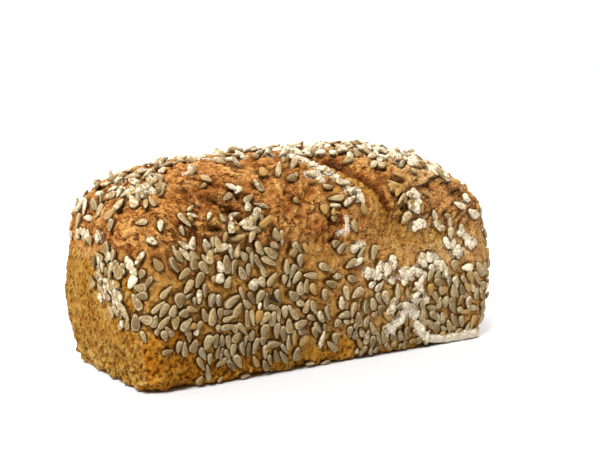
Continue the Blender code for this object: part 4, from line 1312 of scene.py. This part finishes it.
# %% [markdown]
# ## Finishes
#
# Bread has no single colour. The crust's finish starts from how far a point is baked,
# adds noise at three scales, and reads the colour off a ramp from golden to red-brown.
# Painted shade in pores, creases, cavities, seats and hollows goes on top, and so does
# flour. A finish made of nodes holds at any distance, and it reads the loaf's own
# coordinates, so it stays put when the loaf or the camera moves.

# %% Helpers for node trees
class Value:
    """An output of a node. Sums and products of it add the nodes that work them out."""

    def __init__(self, tree, socket):
        self.tree, self.socket = tree, socket

    def __add__(self, other):
        return math_of(self.tree, "ADD", self, other)

    def __sub__(self, other):
        return math_of(self.tree, "SUBTRACT", self, other)

    def __rsub__(self, other):
        return math_of(self.tree, "SUBTRACT", other, self)

    def __mul__(self, other):
        return math_of(self.tree, "MULTIPLY", self, other)

    def __abs__(self):
        return math_of(self.tree, "ABSOLUTE", self)

    __radd__, __rmul__ = __add__, __mul__


def put(tree, kind, inputs, output=0, **settings):
    """Adds a node, sets or links its inputs, and gives one of its outputs."""
    made = tree.nodes.new(kind)
    for field, setting in settings.items():
        setattr(made, field, setting)
    for socket, value in inputs.items():
        if isinstance(value, Value):
            tree.links.new(value.socket, made.inputs[socket])
        else:
            made.inputs[socket].default_value = value
    return Value(tree, made.outputs[output])


def math_of(tree, operation, first, second=0.0):
    return put(tree, "ShaderNodeMath", {0: first, 1: second}, operation=operation)


def values_of(tree, *names):
    """The values that a piece's points carry."""
    return [put(tree, "ShaderNodeAttribute", {}, "Fac", attribute_name=name) for name in names]


def limited(value):
    return put(value.tree, "ShaderNodeClamp", {"Value": value})


def stepped(value, low, high):
    """0 below low and 1 above high, soft in between."""
    inputs = {"Value": value, "From Min": low, "From Max": high}
    return put(value.tree, "ShaderNodeMapRange", inputs, "Result", interpolation_type="SMOOTHSTEP")


def mixed(share, first, second):
    return put(share.tree, "ShaderNodeMix", {0: share, 6: first, 7: second}, 2, data_type="RGBA")


def tinted(colour, tint):
    return put(colour.tree, "ShaderNodeMix", {0: 1.0, 6: colour, 7: tint}, 2, data_type="RGBA",
               blend_type="MULTIPLY")


def ramp(value, stops):
    """Reads a colour off stops, of which the first two are the ends."""
    made = put(value.tree, "ShaderNodeValToRGB", {"Fac": value}, "Color")
    elements = made.socket.node.color_ramp.elements
    for index, (position, colour) in enumerate(stops):
        stop = elements[index] if index < 2 else elements.new(position)
        stop.position = position
        stop.color = (*colour, 1.0)
    return made


def grain(place, scale, detail=3.0, roughness=0.6):
    inputs = {"Vector": place, "Scale": scale, "Detail": detail, "Roughness": roughness}
    return put(place.tree, "ShaderNodeTexNoise", inputs, "Fac")


def spots(place, scale, edge, soft):
    """1 in round spots at scattered places, 0 between them."""
    cells = put(place.tree, "ShaderNodeTexVoronoi", {"Vector": place, "Scale": scale}, "Distance")
    return stepped(cells, edge, edge - soft)


def bent(place, scale, reach):
    """The place, shifted by up to half of reach this way and that."""
    offset = put(place.tree, "ShaderNodeTexNoise", {"Vector": place, "Scale": scale}, "Color")
    for operation, operand in (("SUBTRACT", 0.5), ("MULTIPLY", reach)):
        offset = put(place.tree, "ShaderNodeVectorMath", {0: offset, 1: (operand,) * 3},
                     operation=operation)
    return put(place.tree, "ShaderNodeVectorMath", {0: place, 1: offset}, operation="ADD")


def flakes_of(place, scale, levels):
    """A noise cut into steps: its height, and how far up its own step a place lies."""
    level = grain(place, scale, 2.5, 0.5) * levels
    share = math_of(place.tree, "FRACT", level)
    height = math_of(place.tree, "FLOOR", level) + stepped(share, 0.0, 0.3)
    return math_of(place.tree, "DIVIDE", height, levels), share


def new_finish(name, roughness, specular):
    """A finish and its shader."""
    finish = bpy.data.materials.new(name)
    finish.use_nodes = True
    shader = finish.node_tree.nodes["Principled BSDF"]
    shader.inputs["Roughness"].default_value = roughness
    shader.inputs["Specular IOR Level"].default_value = specular
    return finish, shader


def own_place(tree):
    """The place in the piece's own coordinates."""
    return put(tree, "ShaderNodeTexCoord", {}, "Object")


def dress(shader, colour, height, strength, distance):
    """Gives a shader its colour, and its bumps."""
    bump = put(colour.tree, "ShaderNodeBump",
               {"Height": height, "Strength": strength, "Distance": distance})
    colour.tree.links.new(colour.socket, shader.inputs["Base Color"])
    colour.tree.links.new(bump.socket, shader.inputs["Normal"])


# %% The crust
TIN_STOPS = (  # crust that touched the tin: the ends and the foot
    (0.0, (0.43, 0.268, 0.076)),
    (1.0, (0.050, 0.015, 0.002)),
    (0.22, (0.368, 0.192, 0.030)),
    (0.45, (0.285, 0.108, 0.011)),
    (0.7, (0.150, 0.045, 0.003)),
)
SIDE_STOPS = (  # crust between the kernels, dried to tan
    (0.0, (0.68, 0.47, 0.235)),
    (1.0, (0.085, 0.029, 0.005)),
    (0.22, (0.53, 0.298, 0.095)),
    (0.45, (0.400, 0.187, 0.044)),
    (0.7, (0.220, 0.085, 0.015)),
)
DOME_STOPS = (  # crust that baked in the open
    (0.0, (0.77, 0.49, 0.19)),
    (1.0, (0.075, 0.021, 0.006)),
    (0.22, (0.62, 0.318, 0.092)),
    (0.45, (0.46, 0.186, 0.041)),
    (0.7, (0.245, 0.070, 0.012)),
)
FOOT_TINT = (1.14, 0.88, 0.46, 1)
# the next three colours are painted shade: in pores, in cavities, and in hollows, seats and the
# tear
PAINTED_PORE_SHADE = (0.120, 0.036, 0.002, 1)
PAINTED_CAVITY_SHADE = (0.110, 0.030, 0.004, 1)
SHADE_BROWN = (0.042, 0.014, 0.003, 1)
MAUVE_BROWN = (0.130, 0.042, 0.010, 1)
FLECK = (0.62, 0.44, 0.22, 1)
# painted shade in thin creases
PAINTED_CREASE_SHADE = (0.070, 0.017, 0.003, 1)
FLOUR_WHITE = (0.84, 0.75, 0.59, 1)
PORE_STRETCH = 2.3


def crust_value(tree, place, slanted, pores, domed):
    """How brown the crust is, from 0 to 1, with painted shading and the two fine noises in it."""
    bake, painted_relief_shading = values_of(tree, "bake", "painted_relief_shading")
    fine, streak = grain(place, 1000, 3, 0.65), grain(slanted, 620, 3, 0.65)
    # painted shading: low places of the relief darker, high places lighter
    value = bake + 0.5 * (painted_relief_shading - 0.5)
    for pattern, strength, in_pores in (
            (grain(place, 75), 0.65, 0.1), (grain(place, 230, 4), 0.5, -0.1),
            (fine, 1.0, 0.0), (streak, 0.1, 0.8)):
        value += (pattern - 0.5) * (strength + in_pores * pores)
    flakes, share = flakes_of(bent(place, 140, 7 * MM), 95, 7.0)
    # painted shade at the low foot of each flake, lightening towards its raised edge as painted
    # highlight
    return value + (0.5 - share) * (0.04 + 0.10 * domed), flakes, fine, streak


def crust_finish():
    finish, shader = new_finish("baked_crust", 0.75, 0.03)
    tree = finish.node_tree
    place = own_place(tree)
    flat = put(tree, "ShaderNodeMapping", {"Vector": place, "Scale": (0.6, 1.0, 1.1)})
    slanted = put(tree, "ShaderNodeMapping", {
        "Vector": place, "Rotation": (PORE_TURN, 0.0, 0.0), "Scale": (1.0, 1.0, PORE_STRETCH),
    }, vector_type="TEXTURE")
    pores, domed, golden, foot, painted_shade, dust = values_of(
        tree, "pores", "domed", "golden", "foot", "painted_shade", "dust")
    value, flakes, fine, streak = crust_value(tree, place, slanted, pores, domed)
    low_down = mixed(golden, ramp(value, SIDE_STOPS), ramp(value, TIN_STOPS))
    low_down = mixed(foot, low_down, tinted(low_down, FOOT_TINT))
    mauve = stepped(grain(bent(place, 300, 4 * MM), 290, 4), 0.49, 0.59)
    open_crust = mixed(0.5 * mauve, ramp(value, DOME_STOPS), MAUVE_BROWN)
    # painted shade in thin creases, mostly on the dome
    crease = stepped(abs(grain(flat, 170, 3, 0.55) - 0.5), 0.034, 0.012)
    crease *= stepped(grain(place, 95, 2), 0.50, 0.58) * (0.1 + 0.75 * domed)
    # painted shade in the slanted pores, strongest on the tin-baked crust
    pore = spots(bent(slanted, 500, 3 * MM), 360, 0.42, 0.14)
    pore *= stepped(grain(place, 200), 0.34, 0.50) * (0.25 + 0.60 * pores)
    # painted shade in small cavities, weakest among the pores
    cavity = spots(bent(flat, 420, 5 * MM), 330, 0.38, 0.10)
    cavity *= stepped(grain(place, 170), 0.42, 0.56) * (0.7 - 0.6 * pores)
    fleck = spots(bent(place, 900, 1.5 * MM), 620, 0.36, 0.2)
    fleck *= stepped(grain(place, 420), 0.50, 0.58) * (0.45 - 0.4 * pores)
    powder = stepped(1.5 * grain(place, 800, 4, 0.75) + dust, 1.1, 1.4)
    colour = mixed(domed, low_down, open_crust)
    # crease, pore, cavity and the shade value paint shade; fleck and powder are the crust's own
    # specks and flour
    for share, layer in ((crease, PAINTED_CREASE_SHADE), (pore, PAINTED_PORE_SHADE), (cavity, PAINTED_CAVITY_SHADE),
                         (fleck, FLECK), (painted_shade, SHADE_BROWN), (powder, FLOUR_WHITE)):
        colour = mixed(share, colour, layer)
    height = grain(place, 210, 2, 0.5) * (1.0 - 0.5 * domed) + fine * (0.30 + 0.12 * domed)
    height += flakes * (0.9 * domed) + streak * (0.5 * pores) - 0.3 * (crease + pore + cavity)
    dress(shader, colour, height, 1.0, 2.5 * MM)
    return finish


# %% The kernels
KERNEL_DULL = (0.165, 0.114, 0.048, 1)
KERNEL_PALE = (0.45, 0.350, 0.182, 1)
KERNEL_RIM = (0.57, 0.465, 0.270, 1)
KERNEL_BLOOM = (0.75, 0.64, 0.455, 1)
# painted shade on the lower side of the kernels on the dome
PAINTED_KERNEL_UNDERSIDE_SHADE = (0.120, 0.055, 0.016, 1)
KERNEL_SKIN = (0.20, 0.112, 0.042, 1)
# painted shade at a kernel's foot, where it meets the crust
PAINTED_KERNEL_FOOT_SHADE = (0.080, 0.042, 0.012, 1)
KERNEL_TOASTED = (0.42, 0.225, 0.045, 1)
KERNEL_CHARRED = (0.030, 0.019, 0.012, 1)


def kernel_finish():
    finish, shader = new_finish("sunflower_kernel", 0.5, 0.2)
    tree = finish.node_tree
    place = own_place(tree)
    crown, under, tone, toast, flour, dark = values_of(tree, "crown", "under", *VALUES)
    fine = grain(place, 1200)
    rim = stepped(crown, 0.2, 0.4) * stepped(crown, 0.75, 0.55)
    blotch = stepped(grain(place, 560), 0.49, 0.60) * stepped(crown, 0.4, 0.8)
    line = stepped(crown, 0.58, 0.68) * stepped(crown, 0.82, 0.72)
    colour = mixed(limited(1.4 * grain(place, 450) + tone - 0.7), KERNEL_DULL, KERNEL_PALE)
    for share, layer in (
            (0.6 * rim, KERNEL_RIM), (0.7 * blotch, KERNEL_SKIN), (0.4 * line, KERNEL_SKIN),
            # painted shade at each kernel's foot, low on its sides
            (0.6 * stepped(crown, 0.3, 0.05), PAINTED_KERNEL_FOOT_SHADE),
            (limited(0.6 * fine + toast - 0.3), KERNEL_TOASTED), (dark, KERNEL_CHARRED),
            (stepped(2.1 * grain(place, 480, 5, 0.7) + flour, 1.42, 1.74), KERNEL_BLOOM),
            # painted shade on the lower side of the kernels on the dome
            (0.78 * under, PAINTED_KERNEL_UNDERSIDE_SHADE)):
        colour = mixed(share, colour, layer)
    dress(shader, colour, fine - 0.5 * line, 0.8, 0.5 * MM)
    return finish


# %% The flour
FLOUR_SHADED = (0.50, 0.40, 0.26, 1)
# partly crust showing through thin flour, partly painted shade between the clots
FLOUR_THIN_AND_SHADE = (0.40, 0.27, 0.135, 1)


def flour_finish():
    finish, shader = new_finish("dry_flour", 1.0, 0.1)
    tree = finish.node_tree
    fine = grain(own_place(tree), 900, 4)
    thin_flour_and_shade, = values_of(tree, "thin_flour_and_shade")
    colour = mixed(stepped(fine, 0.38, 0.54), FLOUR_SHADED, FLOUR_WHITE)
    # tan where a lump is low: crust through thin flour at its edge, and painted shade between its
    # clots
    dress(shader, mixed(0.75 * thin_flour_and_shade, colour, FLOUR_THIN_AND_SHADE), fine, 0.9, 0.5 * MM)
    return finish


for piece, finish, slot in ((crust_piece, crust_finish(), "crust"),
                            (kernel_piece, kernel_finish(), "kernels"),
                            (flour_piece, flour_finish(), "flour")):
    piece.data.materials.append(finish)
    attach(piece, "root")
    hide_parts("loaf")

# %% [markdown]
# ## Floor, light and camera
#
# The loaf stands on a plain pale table. Two soft suns light it: one from above on the left
# in front, one from above on the right behind. The sky is white to the camera, and to the
# loaf it is dim in front and bright behind.

# %% Floor
bpy.ops.mesh.primitive_plane_add(size=60.0)
floor = bpy.context.object
floor.name = "floor"
floor_finish, floor_shader = new_finish("white_table", 0.9, 0.1)
floor_shader.inputs["Base Color"].default_value = (0.66, 0.66, 0.66, 1)
floor.data.materials.append(floor_finish)
floor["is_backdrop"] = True


# %% Light
def sun(name, energy, width, toward):
    """A sun as wide as given in degrees, which stands in the given direction."""
    lamp = bpy.data.objects.new(name, bpy.data.lights.new(name, "SUN"))
    lamp.data.energy, lamp.data.angle = energy, math.radians(width)
    lamp.rotation_euler = Vector(toward).to_track_quat("Z", "Y").to_euler()
    bpy.context.scene.collection.objects.link(lamp)


sun("key", 5.0, 24, (-0.62, -0.36, 0.95))
sun("back", 3.6, 50, (0.45, 0.70, 0.70))
world = bpy.data.worlds.new("studio")
bpy.context.scene.world = world
world.use_nodes = True
sky = world.node_tree
background = sky.nodes["Background"]
direction = put(sky, "ShaderNodeTexCoord", {}, "Generated")
toward_back = put(sky, "ShaderNodeSeparateXYZ", {"Vector": direction}, "Y")
brightness = put(sky, "ShaderNodeMapRange", {
    "Value": toward_back, "From Min": -0.3, "From Max": 0.5, "To Min": 0.14, "To Max": 1.0,
}, "Result")
to_camera = put(sky, "ShaderNodeLightPath", {}, "Is Camera Ray")
strength = math_of(sky, "MAXIMUM", brightness, to_camera)
sky.links.new(strength.socket, background.inputs["Strength"])
background.inputs["Color"].default_value = (1.0, 1.0, 1.0, 1)
bpy.context.scene.view_settings.view_transform = "Standard"

# %% Camera
camera = bpy.data.objects.new("camera", bpy.data.cameras.new("camera"))
bpy.context.scene.collection.objects.link(camera)
camera.location = (-0.37372, -0.57136, 0.17298)
camera.rotation_euler = tuple(math.radians(angle) for angle in (82.282, 0.0, -33.913))
camera.data.sensor_width = 36.0
camera.data.lens = 64.198
bpy.context.scene.camera = camera

# %% Size of the finished loaf against the solid
dressed_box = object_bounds()
for low_or_high, solid, dressed in zip(("low", "high"), solid_box, dressed_box):
    print(low_or_high, [round((b - a) / MM, 2) for a, b in zip(solid, dressed)])
